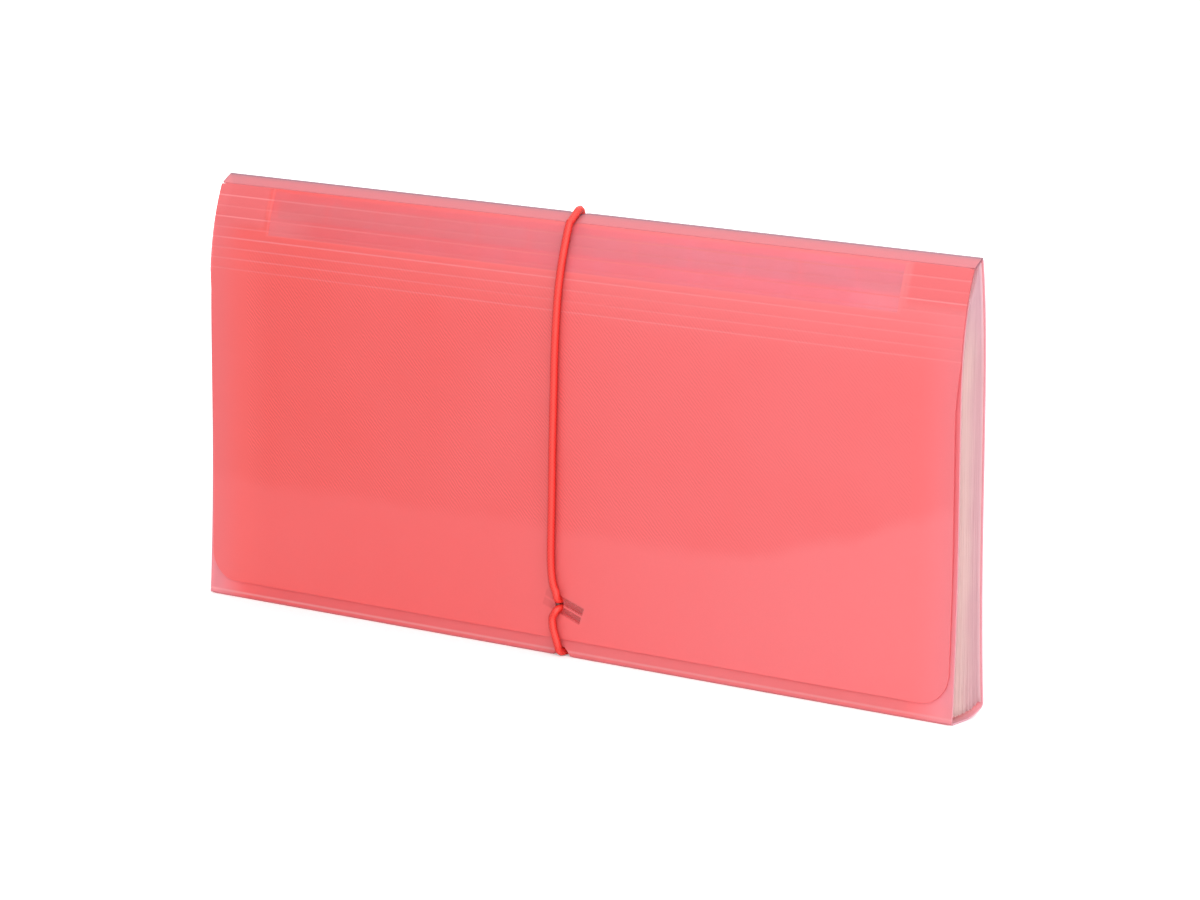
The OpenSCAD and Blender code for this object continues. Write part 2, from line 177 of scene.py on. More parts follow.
class Graph:
    """The node tree of a material or of the world."""

    def __init__(self, owner: bpy.types.Material | bpy.types.World) -> None:
        """Empties the owner's tree.

        Args:
            owner: The material or the world.
        """
        owner.use_nodes = True
        self.owner = owner
        self.tree = owner.node_tree
        self.tree.nodes.clear()

    @classmethod
    def for_material(cls, name: str) -> "Graph":
        """Starts the tree of a new material."""
        return cls(bpy.data.materials.new(name))

    def node(
        self,
        kind: str,
        settings: dict[str, object] | None = None,
        inputs: dict[str | int, Source] | None = None,
    ) -> bpy.types.Node:
        """Adds a node.

        Args:
            kind: The node's type.
            settings: Its own settings, which are set first.
            inputs: The values or links of its sockets.

        Returns:
            The node.
        """
        made = self.tree.nodes.new(kind)
        for key, value in (settings or {}).items():
            setattr(made, key, value)
        for key, value in (inputs or {}).items():
            self.feed(made.inputs[key], value)
        return made

    def feed(self, socket: bpy.types.NodeSocket, value: Source) -> None:
        """Links or sets one input socket.

        Args:
            socket: The input.
            value: A value, an output socket, a number or a colour.
        """
        source = value.socket if isinstance(value, Value) else value
        if isinstance(source, bpy.types.NodeSocket):
            self.tree.links.new(source, socket)
        elif hasattr(source, "__len__") and len(source) == 3 and len(socket.default_value) == 4:
            socket.default_value = (*source, 1.0)
        else:
            socket.default_value = source

    def place(self) -> tuple[Value, Value, Value]:
        """The piece's own X, Y and Z in millimetres, at rest.

        Returns:
            The three coordinates.
        """
        coords = self.node("ShaderNodeTexCoord").outputs["Object"]
        parts = self.node("ShaderNodeSeparateXYZ", inputs={0: coords}).outputs
        return tuple(Value(self, part) / MM for part in parts)

    def strand(self, name: str) -> tuple[Value, Value]:
        """The two coordinates of a named UV map.

        Args:
            name: The map's name.

        Returns:
            Its coordinates along and across.
        """
        coords = self.node("ShaderNodeUVMap", {"uv_map": name}).outputs[0]
        parts = self.node("ShaderNodeSeparateXYZ", inputs={0: coords}).outputs
        return Value(self, parts[0]), Value(self, parts[1])

    def noise(self, size: float, detail: float = 2.0, stretch: Point = (1.0, 1.0, 1.0)) -> Value:
        """Soft irregular noise.

        Args:
            size: Size of its features in millimetres.
            detail: How many finer layers it has.
            stretch: How much longer the features are along each axis.

        Returns:
            Values around 0.5.
        """
        coords = self.node("ShaderNodeTexCoord").outputs["Object"]
        scale = tuple(1 / (size * MM * part) for part in stretch)
        scaled = self.node("ShaderNodeVectorMath", {"operation": "MULTIPLY"}, {0: coords, 1: scale})
        made = self.node(
            "ShaderNodeTexNoise", inputs={"Vector": scaled.outputs[0], "Scale": 1.0, "Detail": detail}
        )
        return Value(self, made.outputs["Fac"])

    def mix(self, share: Value | float, first: Source, second: Source) -> bpy.types.NodeSocket:
        """Mixes two colours.

        Args:
            share: 0 for the first, 1 for the second.
            first: A colour or a colour socket.
            second: A colour or a colour socket.

        Returns:
            The mixed colour's socket.
        """
        made = self.node("ShaderNodeMix", {"data_type": "RGBA"})
        for key, value in ((0, share), (6, first), (7, second)):
            self.feed(made.inputs[key], value)
        return made.outputs[2]

    def shaded(self, colour: Source, light: Value) -> bpy.types.NodeSocket:
        """A colour made lighter or darker by a value around 1.

        Args:
            colour: The colour.
            light: What it is multiplied by.

        Returns:
            The new colour's socket.
        """
        grey = self.node("ShaderNodeCombineXYZ", inputs={0: light, 1: light, 2: light}).outputs[0]
        made = self.node("ShaderNodeVectorMath", {"operation": "MULTIPLY"}, {0: colour, 1: grey})
        return made.outputs[0]

    def bump(self, height: Value, depth: float, strength: float = 1.0) -> bpy.types.NodeSocket:
        """A bumped normal.

        Args:
            height: Heights from 0 to 1.
            depth: Height of 1 in millimetres.
            strength: Share of the effect.

        Returns:
            The normal's socket.
        """
        made = self.node(
            "ShaderNodeBump", inputs={"Strength": strength, "Distance": depth * MM, "Height": height}
        )
        return made.outputs[0]

    def finish(self, shader: bpy.types.NodeSocket) -> bpy.types.Material:
        """Links the last shader to the output.

        Args:
            shader: The surface's shader.

        Returns:
            The finished material.
        """
        self.node("ShaderNodeOutputMaterial", inputs={"Surface": shader})
        return self.owner

    def principled(self, inputs: dict[str, Source]) -> bpy.types.NodeSocket:
        """A Principled shader with these inputs."""
        return self.node("ShaderNodeBsdfPrincipled", inputs=inputs).outputs[0]

    def filtered(
        self, clear: Value | float, surface: bpy.types.NodeSocket, tint: Colour
    ) -> bpy.types.NodeSocket:
        """A surface that lets part of the light straight through.

        Args:
            clear: The share that is let through.
            surface: The shader of the rest.
            tint: Colour of the light that passes.

        Returns:
            The mixed shader's socket.
        """
        through = self.node("ShaderNodeBsdfTransparent", inputs={"Color": tint}).outputs[0]
        return self.node("ShaderNodeMixShader", inputs={0: clear, 1: surface, 2: through}).outputs[0]


# ---------------------------------------------------------------- form of the wallet


def smooth(value: Array | float, low: float, high: float) -> Array:
    """A smooth step from 0 at low to 1 at high."""
    share = np.clip((np.asarray(value, float) - low) / (high - low), 0, 1)
    return share * share * (3 - 2 * share)


@dataclass(frozen=True)
class WalletForm:
    """The wallet's sizes in millimetres, and where its sheets stand: Y at a height Z."""

    length: float = 266.7
    height: float = 127.0
    foot_depth: float = 16.1
    waist_depth: float = 12.6
    foot_rise: float = 55.0
    crown_z: float = 80.0
    sheet: float = 0.5
    gap: float = 0.15
    back_axis: tuple[float, float] = (3.65, 126.75)
    flap_axis: tuple[float, float] = (-0.45, 124.15)
    foot_axis: tuple[float, float] = (-7.8, 0.25)
    crease_reach: float = 0.5
    flap_crease_y: float = 0.7
    flap_crease_z: float = 124.4
    back_crease_y: float = 3.9
    pocket_top: float = 116.0
    centre_y: float = 0.266
    cord_radius: float = 1.15
    cord_foot_x: float = 0.6
    arch_height: float = 2.6
    arch_reach: float = 2.2
    lift_start_x: float = 88.0
    lift_reach_y: float = 9.5
    lift_reach_z: float = 22.0
    lift_rate: float = 0.029
    crest_depth: float = 0.72
    crest_x: float = -2.2
    crest_reach: float = 2.0

    @property
    def half(self) -> float:
        """Half the wallet's length."""
        return self.length / 2

    def flare(self, z: Array) -> Array:
        """How far each cover stands out towards the foot."""
        return (self.foot_depth - self.waist_depth) / 2 * np.maximum(0, 1 - z / self.foot_rise) ** 2

    def draw(self, z: Array, top: float, amount: float) -> Array:
        """How far a cover draws in under the top edge."""
        return amount * np.maximum(0, (z - self.crown_z) / (top - self.crown_z)) ** 3

    def flap_y(self, z: Array) -> Array:
        """Outer face of the flap."""
        reach = self.waist_depth / 2 + self.sheet + self.gap
        return -(reach + self.flare(z)) + self.draw(z, self.flap_crease_z, reach - self.flap_crease_y)

    def front_y(self, z: Array) -> Array:
        """Outer face of the front cover."""
        return self.flap_y(z) + self.sheet + self.gap

    def back_y(self, z: Array) -> Array:
        """Outer face of the back cover."""
        reach = self.waist_depth / 2
        return reach + self.flare(z) - self.draw(z, self.height, reach - self.back_crease_y)

    def foot_arch(self, x: Array, z: Array, fade: float) -> Array:
        """How far the sheet is arched up over the cord under the foot, fading out at a height."""
        arch = self.arch_height * np.exp(-(np.abs((x - self.cord_foot_x) / self.arch_reach) ** 4))
        return arch * np.maximum(0, 1 - z / fade)

    def end_lift(self, x: Array, y: Array, z: Array) -> Array:
        """How far the foot's rear edge stands off the floor near the two ends.

        Args:
            x: Places along the length.
            y: Places from front to back.
            z: Heights.

        Returns:
            The lift.
        """
        inward = np.maximum(0, self.lift_reach_y - (self.back_y(0.0) - y))
        lift = smooth(np.abs(x), self.lift_start_x, self.half + 2) * self.lift_rate * inward**2
        return lift * np.maximum(0, 1 - z / self.lift_reach_z) ** 2

    def crest(self, x: Array) -> Array:
        """Depth of the top edge's dent under the cord."""
        return self.crest_depth * np.exp(-(((x - self.crest_x) / self.crest_reach) ** 2))

    def columns(self) -> Array:
        """Places along the length, close together where the cord crosses and near the ends.

        Returns:
            The places in rising order.
        """
        fine = np.arange(-6.5, 5.6, 1.0)
        outward = [10, 13, *np.arange(17, 113, 4.0), 115, 117, 118.6, 120, 123, 126, 129, 131.5]
        right = [6.5, 8, *outward]
        left = [-x for x in (7.5, 8.5, *outward)]
        return np.array([-self.half, *left[::-1], *fine, *right, self.half])


@dataclass(frozen=True)
class Clasp:
    """The hole in the flap and the two barbs that hold the cord behind it, in millimetres.

    strand_z is half the distance between the cord's two ends, and lead_share the share of a
    barb's length that lies before its cord.
    """

    hole: tuple[float, float] = (-0.5, 15.0)
    hole_radii: tuple[float, float] = (1.55, 2.62)
    strand_z: float = 1.35
    barb_y: float = -7.059
    barb_len: float = 14.4
    barb_w: float = 1.9
    barb_t: float = 1.1
    slope_deg: float = 18.0
    lead_share: float = 0.4

    def from_barbs(self, x: "Array | Value", z: "Array | Value") -> "tuple[Array | Value, Array | Value]":
        """Distances from the middle of the barbs.

        Args:
            x: Places along the wallet.
            z: Heights.

        Returns:
            The distances along and across the barbs' slope.
        """
        slope = math.radians(self.slope_deg)
        right, up = x - self.hole[0], z - self.hole[1]
        middle = (0.5 - self.lead_share) * self.barb_len
        along = right * math.cos(slope) - up * math.sin(slope) - middle
        return along, right * math.sin(slope) + up * math.cos(slope)


@dataclass(frozen=True)
class CordRoute:
    """The line that the elastic cord follows, in millimetres.

    It repeats the construction's route, but sinks into the top edge and bows a little more on
    both sides of the hole.
    """

    form: WalletForm
    clasp: Clasp
    clear: float = 0.02
    turn: float = 2.0
    lean: float = 0.3

    def on_flap(self, x: float, z: float) -> Point:
        """A point where the cord lies on the flap."""
        return x, float(self.form.flap_y(z)) - self.form.cord_radius - self.clear, z

    def on_back(self, x: float, z: float) -> Point:
        """A point where the cord lies on the back."""
        return x, float(self.form.back_y(z)) + self.form.cord_radius + self.clear, z

    def foot_turn(self, wall_y: float, way: int, degrees: Sequence[float], lean: float = 0.0) -> list[Point]:
        """The bend round one lower edge.

        Args:
            wall_y: Where the cord leaves the cover.
            way: 1 or -1, the way along Y from there to the foot's middle.
            degrees: Angles of the points, 0 on the cover and 90 under the foot.
            lean: How far to the left the cord leaves the cover.

        Returns:
            The points.
        """
        form = self.form
        return [
            (
                form.cord_foot_x - lean * math.cos(angle),
                wall_y + way * self.turn * (1 - math.cos(angle)),
                form.cord_radius + self.turn * (1 - math.sin(angle)),
            )
            for angle in np.radians(degrees)
        ]

    def hole_points(self, side: int) -> list[Point]:
        """Three points of the cord's way out through the hole, above it for 1 and below it for -1.

        Args:
            side: 1 for the upper end of the cord and -1 for the lower one.

        Returns:
            The points.
        """
        x, middle = self.clasp.hole
        z = middle + side * self.clasp.strand_z
        skin = float(self.form.flap_y(middle))
        outside = (x, z + 0.6) if side > 0 else (x - 0.2, z - 0.5)
        return [
            (x, self.clasp.barb_y + 0.5, z),
            (x, skin, z),
            (outside[0], skin - self.form.cord_radius, outside[1]),
        ]

    def points(self) -> Array:
        """The route's points, from the upper barb once round the wallet to the lower one.

        Returns:
            One row for each point.
        """
        flap, back, height = self.on_flap, self.on_back, self.form.height
        foot, floor = self.form.cord_foot_x, self.form.cord_radius
        hole_x, hole_z = self.clasp.hole
        strand_z = self.clasp.strand_z
        up = [
            *self.hole_points(1),
            flap(hole_x - 0.5, hole_z + strand_z + 2.4),
            flap(-2.1, hole_z + 6),
            flap(-3.05, hole_z + 13),
            flap(-3.05, 0.36 * height),
            flap(-2.9, 0.47 * height),
            flap(-2.5, 0.59 * height),
            flap(-2.15, 0.7 * height),
            flap(-1.85, height - 24),
            flap(-1.7, height - 15),
            flap(-1.6, height - 8),
            (-1.7, -1.95, 124.1),
            (-1.8, -1.15, 124.75),
        ]
        over = [(-2.3, 3.3, 127.5), (-2.5, 4.35, 127.3), (-2.6, 5.0, 126.4)]
        down = [
            back(-2.5, height - 7),
            back(-2.2, height - 16),
            back(-1.8, height - 30),
            back(-1.3, 0.63 * height),
            back(-0.9, 0.5 * height),
            back(-0.5, 0.38 * height),
            back(0.0, 0.25 * height),
            back(0.4, 18.0),
            back(foot, 7.0),
        ]
        under = [
            *self.foot_turn(back(foot, 3.0)[1], -1, (0, 30, 60, 90)),
            (foot, 3.0, floor),
            (foot, -2.0, floor),
            *self.foot_turn(flap(foot, 5.0)[1], 1, (90, 60, 30, 0), self.lean),
        ]
        last = [
            flap(foot - 1.2, 5.6),
            flap(-1.5, 8.0),
            flap(-1.9, hole_z - strand_z - 2.6),
            *self.hole_points(-1)[::-1],
        ]
        return np.array([*up, *over, *down, *under, *last], float)

    def line(self, step: float = 1.1) -> Array:
        """The route as a smooth curve.

        Args:
            step: Longest distance between two of its points.

        Returns:
            One row for each point.
        """
        p = self.points()
        made: list[Array] = []
        for i in range(len(p) - 1):
            a, b, c, d = p[max(0, i - 1)], p[i], p[i + 1], p[min(len(p) - 1, i + 2)]
            steps = max(2, math.ceil(np.linalg.norm(c - b) / step))
            for t in np.linspace(0, 1, steps, endpoint=False):
                bend = (2 * a - 5 * b + 4 * c - d) * t**2 + (3 * b - a - 3 * c + d) * t**3
                made.append(0.5 * (2 * b + (c - a) * t + bend))
        return np.array([*made, p[-1]])


# ---------------------------------------------------------------- mesh building


@dataclass
class MeshParts:
    """Vertices in millimetres, faces, and the material number of each face."""

    points: Array
    faces: list[tuple[int, ...]]
    marks: list[int]


def grid_border(rows: tuple[int, int], columns: tuple[int, int]) -> list[tuple[int, int]]:
    """The border of a grid's block, once round, between its first and last rows and columns.

    Args:
        rows: Numbers of the first and last row.
        columns: Numbers of the first and last column.

    Returns:
        The row and column of each place.
    """
    (r0, r1), (c0, c1) = rows, columns
    return (
        [(r0, c) for c in range(c0, c1)]
        + [(r, c1) for r in range(r0, r1)]
        + [(r1, c) for c in range(c1, c0, -1)]
        + [(r, c0) for r in range(r1, r0, -1)]
    )


def ring_ribbon(first: Sequence[int], second: Sequence[int]) -> list[tuple[int, ...]]:
    """Faces between two closed rings of vertex numbers."""
    n = len(first)
    return [(first[i], first[(i + 1) % n], second[(i + 1) % n], second[i]) for i in range(n)]


@dataclass(frozen=True)
class RoundHole:
    """A round hole in a sheet's grid.

    rows and columns are the first and last grid lines of the block that the hole is cut into,
    place gives a sheet's outer and inner points for X and Z, and lip is how far the middle of the
    cut edge stands into the hole.
    """

    rows: tuple[int, int]
    columns: tuple[int, int]
    centre: tuple[float, float]
    radii: tuple[float, float]
    place: Callable[[Array, Array], tuple[Array, Array]]
    lip: float = 0.1

    def covers(self, row: int, column: int) -> bool:
        """Whether the block takes this cell of the grid."""
        return self.rows[0] <= row < self.rows[1] and self.columns[0] <= column < self.columns[1]

    def lining(self, outer: Array, number: Sequence[Sequence[int]], start: int) -> MeshParts:
        """The sheet between the block's border and the hole, with the hole's cut edge.

        Args:
            outer: The grid of the sheet's outer points.
            number: Vertex numbers of that grid; those of the inner grid follow on.
            start: Number of the first vertex that this adds.

        Returns:
            The added points and faces, with 1 as the mark of the cut edge.
        """
        border = grid_border(self.rows, self.columns)
        count, n = outer.shape[0] * outer.shape[1], len(border)
        at = np.array([outer[place] for place in border])
        angle = np.arctan2(at[:, 2] - self.centre[1], at[:, 0] - self.centre[0])

        def ring(shrink: float) -> tuple[Array, Array]:
            """X and Z of the hole's outline, made smaller all round."""
            x = self.centre[0] + (self.radii[0] - shrink) * np.cos(angle)
            return x, self.centre[1] + (self.radii[1] - shrink) * np.sin(angle)

        x, z = ring(0.0)
        points: list[Array] = []
        for share in (0.5, 1.0):
            points += self.place(at[:, 0] + (x - at[:, 0]) * share, at[:, 2] + (z - at[:, 2]) * share)
        points.append(sum(self.place(*ring(self.lip))) / 2)
        near, near_inner, hem, hem_inner, lips = (
            list(range(start + n * k, start + n * (k + 1))) for k in range(len(points))
        )
        edge = [number[r][c] for r, c in border]
        flat = ring_ribbon(edge, near) + ring_ribbon(near, hem)
        flat += ring_ribbon(near_inner, [count + i for i in edge]) + ring_ribbon(hem_inner, near_inner)
        cut = ring_ribbon(hem, lips) + ring_ribbon(lips, hem_inner)
        return MeshParts(np.vstack(points), flat + cut, [0] * len(flat) + [1] * len(cut))


def closed_sheet(
    outer: Array,
    inner: Array,
    reach: Sequence[float] = (0.1,) * 4,
    hole: RoundHole | None = None,
    creases: tuple[int, ...] = (),
) -> MeshParts:
    """A thin closed sheet with rounded edges.

    Args:
        outer: Grid of points on its outer face, rows by columns by 3.
        inner: The same grid on its inner face.
        reach: How far the edge stands out past the first and last row and the first and last column.
        hole: A round hole in it.
        creases: 0 where its first row is a crease and not a cut edge, and 1 for its last row.

    Returns:
        The mesh, with 0 as the mark of its faces and 1 of its edges.
    """
    rows, cols = outer.shape[:2]
    count = rows * cols
    number = np.arange(count).reshape(rows, cols).tolist()
    faces: list[tuple[int, ...]] = []
    for r in range(rows - 1):
        for c in range(cols - 1):
            if hole is None or not hole.covers(r, c):
                a, b, d, e = number[r][c], number[r][c + 1], number[r + 1][c + 1], number[r + 1][c]
                faces += [(a, b, d, e), (count + e, count + d, count + b, count + a)]
    marks = [0] * len(faces)
    ring = grid_border((0, rows - 1), (0, cols - 1))
    out = np.array([outer[place] for place in ring])
    inn = np.array([inner[place] for place in ring])
    away = np.cross(np.roll(out, -1, 0) - np.roll(out, 1, 0), out - inn)
    away /= np.maximum(np.linalg.norm(away, axis=1, keepdims=True), 1e-9)
    if np.sum(away * (out - out.mean(0))) < 0:
        away = -away
    length: list[float] = []
    for r, c in ring:
        sides = (r == 0, r == rows - 1, c == 0, c == cols - 1)
        length.append(min(distance for distance, on in zip(reach, sides) if on))
    points = [outer.reshape(-1, 3), inner.reshape(-1, 3), (out + inn) / 2 + away * np.array(length)[:, None]]
    numbers = [number[r][c] for r, c in ring]
    mids = list(range(2 * count, 2 * count + len(ring)))
    faces += ring_ribbon(mids, numbers) + ring_ribbon([count + i for i in numbers], mids)
    fold_rows = [(0, rows - 1)[end] for end in creases]
    for (r, _), (next_r, _) in zip(ring, ring[1:] + ring[:1]):
        marks.append(0 if r in fold_rows and r == next_r else 1)
    marks += marks[-len(ring) :]
    if hole is not None:
        lining = hole.lining(outer, number, 2 * count + len(ring))
        points.append(lining.points)
        faces += lining.faces
        marks += lining.marks
    return MeshParts(np.vstack(points), faces, marks)


def lofted(rings: Sequence[Array]) -> MeshParts:
    """A closed solid through rings of points of the same count, with fans over both ends.

    Args:
        rings: The rings, from one end to the other.

    Returns:
        The mesh, with one mark for all its faces.
    """
    n = len(rings[0])
    points = [np.asarray(ring, float) for ring in rings]
    faces: list[tuple[int, ...]] = []
    for j in range(len(rings) - 1):
        faces += ring_ribbon(range(j * n, j * n + n), range((j + 1) * n, (j + 1) * n + n))
    total = len(rings) * n
    points += [points[0].mean(0)[None], points[-1].mean(0)[None]]
    last = (len(rings) - 1) * n
    faces += [(i, total, (i + 1) % n) for i in range(n)]
    faces += [(last + i, last + (i + 1) % n, total + 1) for i in range(n)]
    return MeshParts(np.vstack(points), faces, [0] * len(faces))


def make_piece(
    name: str,
    parts: MeshParts,
    materials: Sequence[bpy.types.Material],
    form: WalletForm,
    sharp_deg: float = 42.0,
) -> bpy.types.Object:
    """Makes an object from a mesh in millimetres.

    Args:
        name: The piece's name.
        parts: Its mesh.
        materials: Its materials, in the order of the marks.
        form: The wallet, for the middle of its box.
        sharp_deg: Edges that turn by more than this stay sharp.

    Returns:
        The object, in metres.
    """
    mesh = bpy.data.meshes.new(name)
    points = (parts.points + np.array([0, form.centre_y, 0])) * MM
    mesh.from_pydata(points.tolist(), [], parts.faces)
    mesh.polygons.foreach_set("material_index", parts.marks)
    for material in materials:
        mesh.materials.append(material)
    mesh.validate()
    face_outward(mesh)
    mesh.shade_smooth()
    mesh.set_sharp_from_angle(angle=math.radians(sharp_deg))
    made = bpy.data.objects.new(name, mesh)
    bpy.context.scene.collection.objects.link(made)
    return made


def face_outward(mesh: bpy.types.Mesh) -> None:
    """Turns all faces of a closed mesh outward.

    Args:
        mesh: The mesh, which is changed.
    """
    work = bmesh.new()
    work.from_mesh(mesh)
    bmesh.ops.recalc_face_normals(work, faces=work.faces)
    work.to_mesh(mesh)
    work.free()


def settle(piece: bpy.types.Object, body: str, slot: str, *nodes: str) -> None:
    """Attaches a piece to its body and hides the nodes that it stands for.

    Args:
        piece: The piece.
        body: The body that it rides on, or "" for a piece that rides on none.
        slot: Not used.
        nodes: The nodes that it replaces.
    """
    if body:
        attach(piece, body)
    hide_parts(*nodes)
    log.info("%s: %d faces on %s", piece.name, len(piece.data.polygons), body or "two bodies")


# ---------------------------------------------------------------- finishes


class FilmSide(Enum):
    """Where a piece of the cover sheet is, which decides the marks on it."""

    FLAP = "flap"
    FRONT = "front"
    STRIP = "strip"
    BACK = "back"


@dataclass(frozen=True)
class Scores:
    """The scored lines across the flap, in millimetres from the top one down."""

    first_z: float = 121.1
    pitch: float = 3.05
    strengths: tuple[float, ...] = (1.0, 0.5, 1.0, 0.5, 1.0, 0.7, 0.65, 0.8)

    def heights(self) -> list[float]:
        """The height of each line."""
        return [self.first_z - self.pitch * i for i in range(len(self.strengths))]


@dataclass
class FilmLook:
    """What a film looks like so far, while its marks are laid on it one after another."""

    graph: Graph
    x: Value
    y: Value
    z: Value
    blotch: Value
    colour: bpy.types.NodeSocket
    light: Value
    height: Value
    clear: Value | float

    def paint(self, share: Value | float, colour: Source) -> None:
        """Lays a colour over the film in a given share."""
        self.colour = self.graph.mix(share, self.colour, colour)


@dataclass(frozen=True)
class FilmFinish:
    """Frosted polypropylene film in coral red.

    clear is the share of light that passes one face, and tint its colour. The marks of each side
    have their own colours below.
    """

    name: str
    side: FilmSide
    scores: Scores = Scores()
    clasp: Clasp = Clasp()
    # deep and pale are the ends of painted light, deep at the left and pale at the right.
    deep: Colour = (0.97, 0.125, 0.115)
    pale: Colour = (1.0, 0.20, 0.21)
    rim: Colour = (0.86, 0.30, 0.36)
    tint: Colour = (1.0, 0.42, 0.42)
    clear: float = 0.42
    rough: float = 0.42
    glossy_ior: float = 1.7
    grain_size: float = 0.34
    bump_depth: float = 0.03

    twill_pitch: float = 1.26
    twill_light: float = 0.15
    twill_height: float = 0.25
    smooth_below: float = 36.3
    smooth_rise: float = 21.5
    # Painted light towards the lower right, below the rib.
    lower_right_painted_light: Colour = (1.0, 0.27, 0.29)
    left_band: Colour = (1.0, 0.20, 0.195)

    # crown is the colour of a painted sheen on the flap's top, standing in for the overhead light.
    crown: Colour = (0.97, 0.27, 0.29)
    bare: Colour = (0.79, 0.12, 0.13)
    # Colours of the row band, partly the cards showing through and partly painted light, paler to the right.
    row_tone_left: Colour = (0.88, 0.23, 0.27)
    row_tone_right: Colour = (1.0, 0.33, 0.43)
    row_end: Colour = (0.98, 0.50, 0.54)
    scored: Colour = (1.0, 0.30, 0.32)
    score_half: float = 0.36
    row_half: float = 112.0
    row_foot_z: float = 110.6

    strip: Colour = (0.76, 0.27, 0.31)
    fold: Colour = (0.28, 0.12, 0.17)
    strip_clear: float = 0.3

    low_end: Colour = (0.97, 0.44, 0.52)
    # A painted highlight and a painted shade along the foot's fold, and the paler band below the hem.
    foot_painted_highlight: Colour = (1.0, 0.60, 0.62)
    below_hem: Colour = (1.0, 0.36, 0.38)
    foot_painted_shade: Colour = (0.62, 0.20, 0.24)

    # Painted light that lifts the shade of the pleats on the back's foot.
    foot_painted_light: Colour = (1.0, 0.50, 0.55)
    foot_end_painted_light: Colour = (1.0, 0.74, 0.78)
    back_rim: Colour = (0.88, 0.54, 0.63)

    def material(self) -> bpy.types.Material:
        """Builds the film: matt grain, diagonal rib, whitened scores and soft blotches, under painted light.

        Returns:
            The finished material.
        """
        graph = Graph.for_material(self.name)
        x, y, z = graph.place()
        blotch = graph.noise(38, 3.0)
        # Painted light: deep at the left to pale at the right, standing in for more light on the right; the
        # blotches add random tone.
        colour = graph.mix((x.rise(-170, 130) + (blotch - 0.5) * 0.5).limited(), self.deep, self.pale)
        grain = graph.noise(self.grain_size)
        look = FilmLook(graph, x, y, z, blotch, colour, 0.97 + grain * 0.06, grain * 0.3, self.clear)
        if self.side in (FilmSide.FLAP, FilmSide.BACK):
            self.twill(look)
        look.paint(abs(x).rise(119.0, 133.5) * 0.4, self.rim)
        look.paint(x.rise(-108, -122) * z.rise(112, 102) * 0.35, self.left_band)
        marks = {
            FilmSide.FLAP: (self.crown_marks, self.score_marks, self.barb_marks),
            FilmSide.STRIP: (self.strip_marks,),
            FilmSide.FRONT: (self.front_marks,),
            FilmSide.BACK: (self.back_marks,),
        }
        for lay_on in marks[self.side]:
            lay_on(look)
        surface = graph.principled(
            {
                "Base Color": graph.shaded(look.colour, look.light),
                "Roughness": self.rough,
                "IOR": self.glossy_ior,
                "Normal": graph.bump(look.height, self.bump_depth),
            }
        )
        return graph.finish(graph.filtered(look.clear, surface, self.tint))

    def twill(self, look: FilmLook) -> None:
        """Lays on the diagonal rib above a wavy line rising to the right, with a painted reflection below it.

        Args:
            look: The film so far, which is changed.
        """
        graph, x, z = look.graph, look.x, look.z
        facing = 1.0 if self.side is FilmSide.FLAP else -1.0
        right = ((x * facing - 45) / 83).larger(0.0) ** 1.6
        level = self.smooth_below + right * self.smooth_rise + (graph.noise(14) - 0.5) * 5
        above = (z - level).rise(-3.0, 3.0)
        ripple = graph.noise(2.6, 2.0, (0.7, 1.0, 1.6))
        rib = ((x * facing + z + (ripple - 0.5) * 1.3) * (FULL_TURN / self.twill_pitch)).sine()
        patchy = (graph.noise(7, 3.0).rise(0.25, 0.7) * 0.8 + 0.2) * (x.rise(110, -20) * 0.6 + 0.4)
        twill = rib * patchy * above * abs(x).rise(119.2, 118.2) * z.rise(112, 94)
        # Below the wavy line the film is a little lighter, part of a painted reflection of the studio.
        look.light = look.light + twill * self.twill_light + (1 - above) * 0.02
        look.height = look.height + twill * self.twill_height
        # Painted reflection below the wavy line, and painted light growing towards the lower right.
        look.paint((1 - above) * 0.3, self.pale)
        look.paint((1 - above) * x.rise(-40, 120) * 0.55, self.lower_right_painted_light)

    def over_ends(self, look: FilmLook) -> Value:
        """Where the flap's top covers no row of tabs, at its two ends."""
        return abs(look.x).rise(113, 115) * look.z.rise(111, 115)

    def crown_marks(self, look: FilmLook) -> None:
        """Lays a painted sheen on the flap's top, then what shows through: bare film at both ends, the row
        between.

        Args:
            look: The film so far, which is changed.
        """
        graph, x, z = look.graph, look.x, look.z
        # Painted sheen: the flap's top is painted paler, more so to the right, for the overhead light it
        # faces.
        look.paint(z.rise(92, 121) * (x.rise(-110, 60) * 0.55 + 0.2), self.crown)
        over_ends = self.over_ends(look)
        look.paint(over_ends * 0.9, self.bare)
        foot, side = self.row_foot_z, self.row_half
        row = z.rise(foot, foot + 0.7) * z.rise(124.2, 123.0) * abs(x).rise(side, side - 0.5)
        # The row is painted paler, standing in for the cards lit behind the film, and paler to the right as
        # painted light.
        row_tone = graph.mix(x.rise(-110, 80), self.row_tone_left, self.row_tone_right)
        look.paint(row * (graph.noise(9).rise(0.4, 0.75) * 0.2 + 0.55), row_tone)
        ends = abs(x + (look.blotch - 0.5) * 20).rise(94, 109) * z.rise(120, 114) * row
        look.paint(ends * 0.24, self.row_end)
        upright = abs(x).hump(side + 0.4, 0.6) * z.rise(110.2, 111.0)
        level = z.hump(foot + 0.3, 0.5) * abs(x).rise(112.6, 112.0)
        look.paint((upright + level).limited() * 0.25, self.scored)
        look.clear = row * 0.14 - over_ends * 0.28 + look.clear

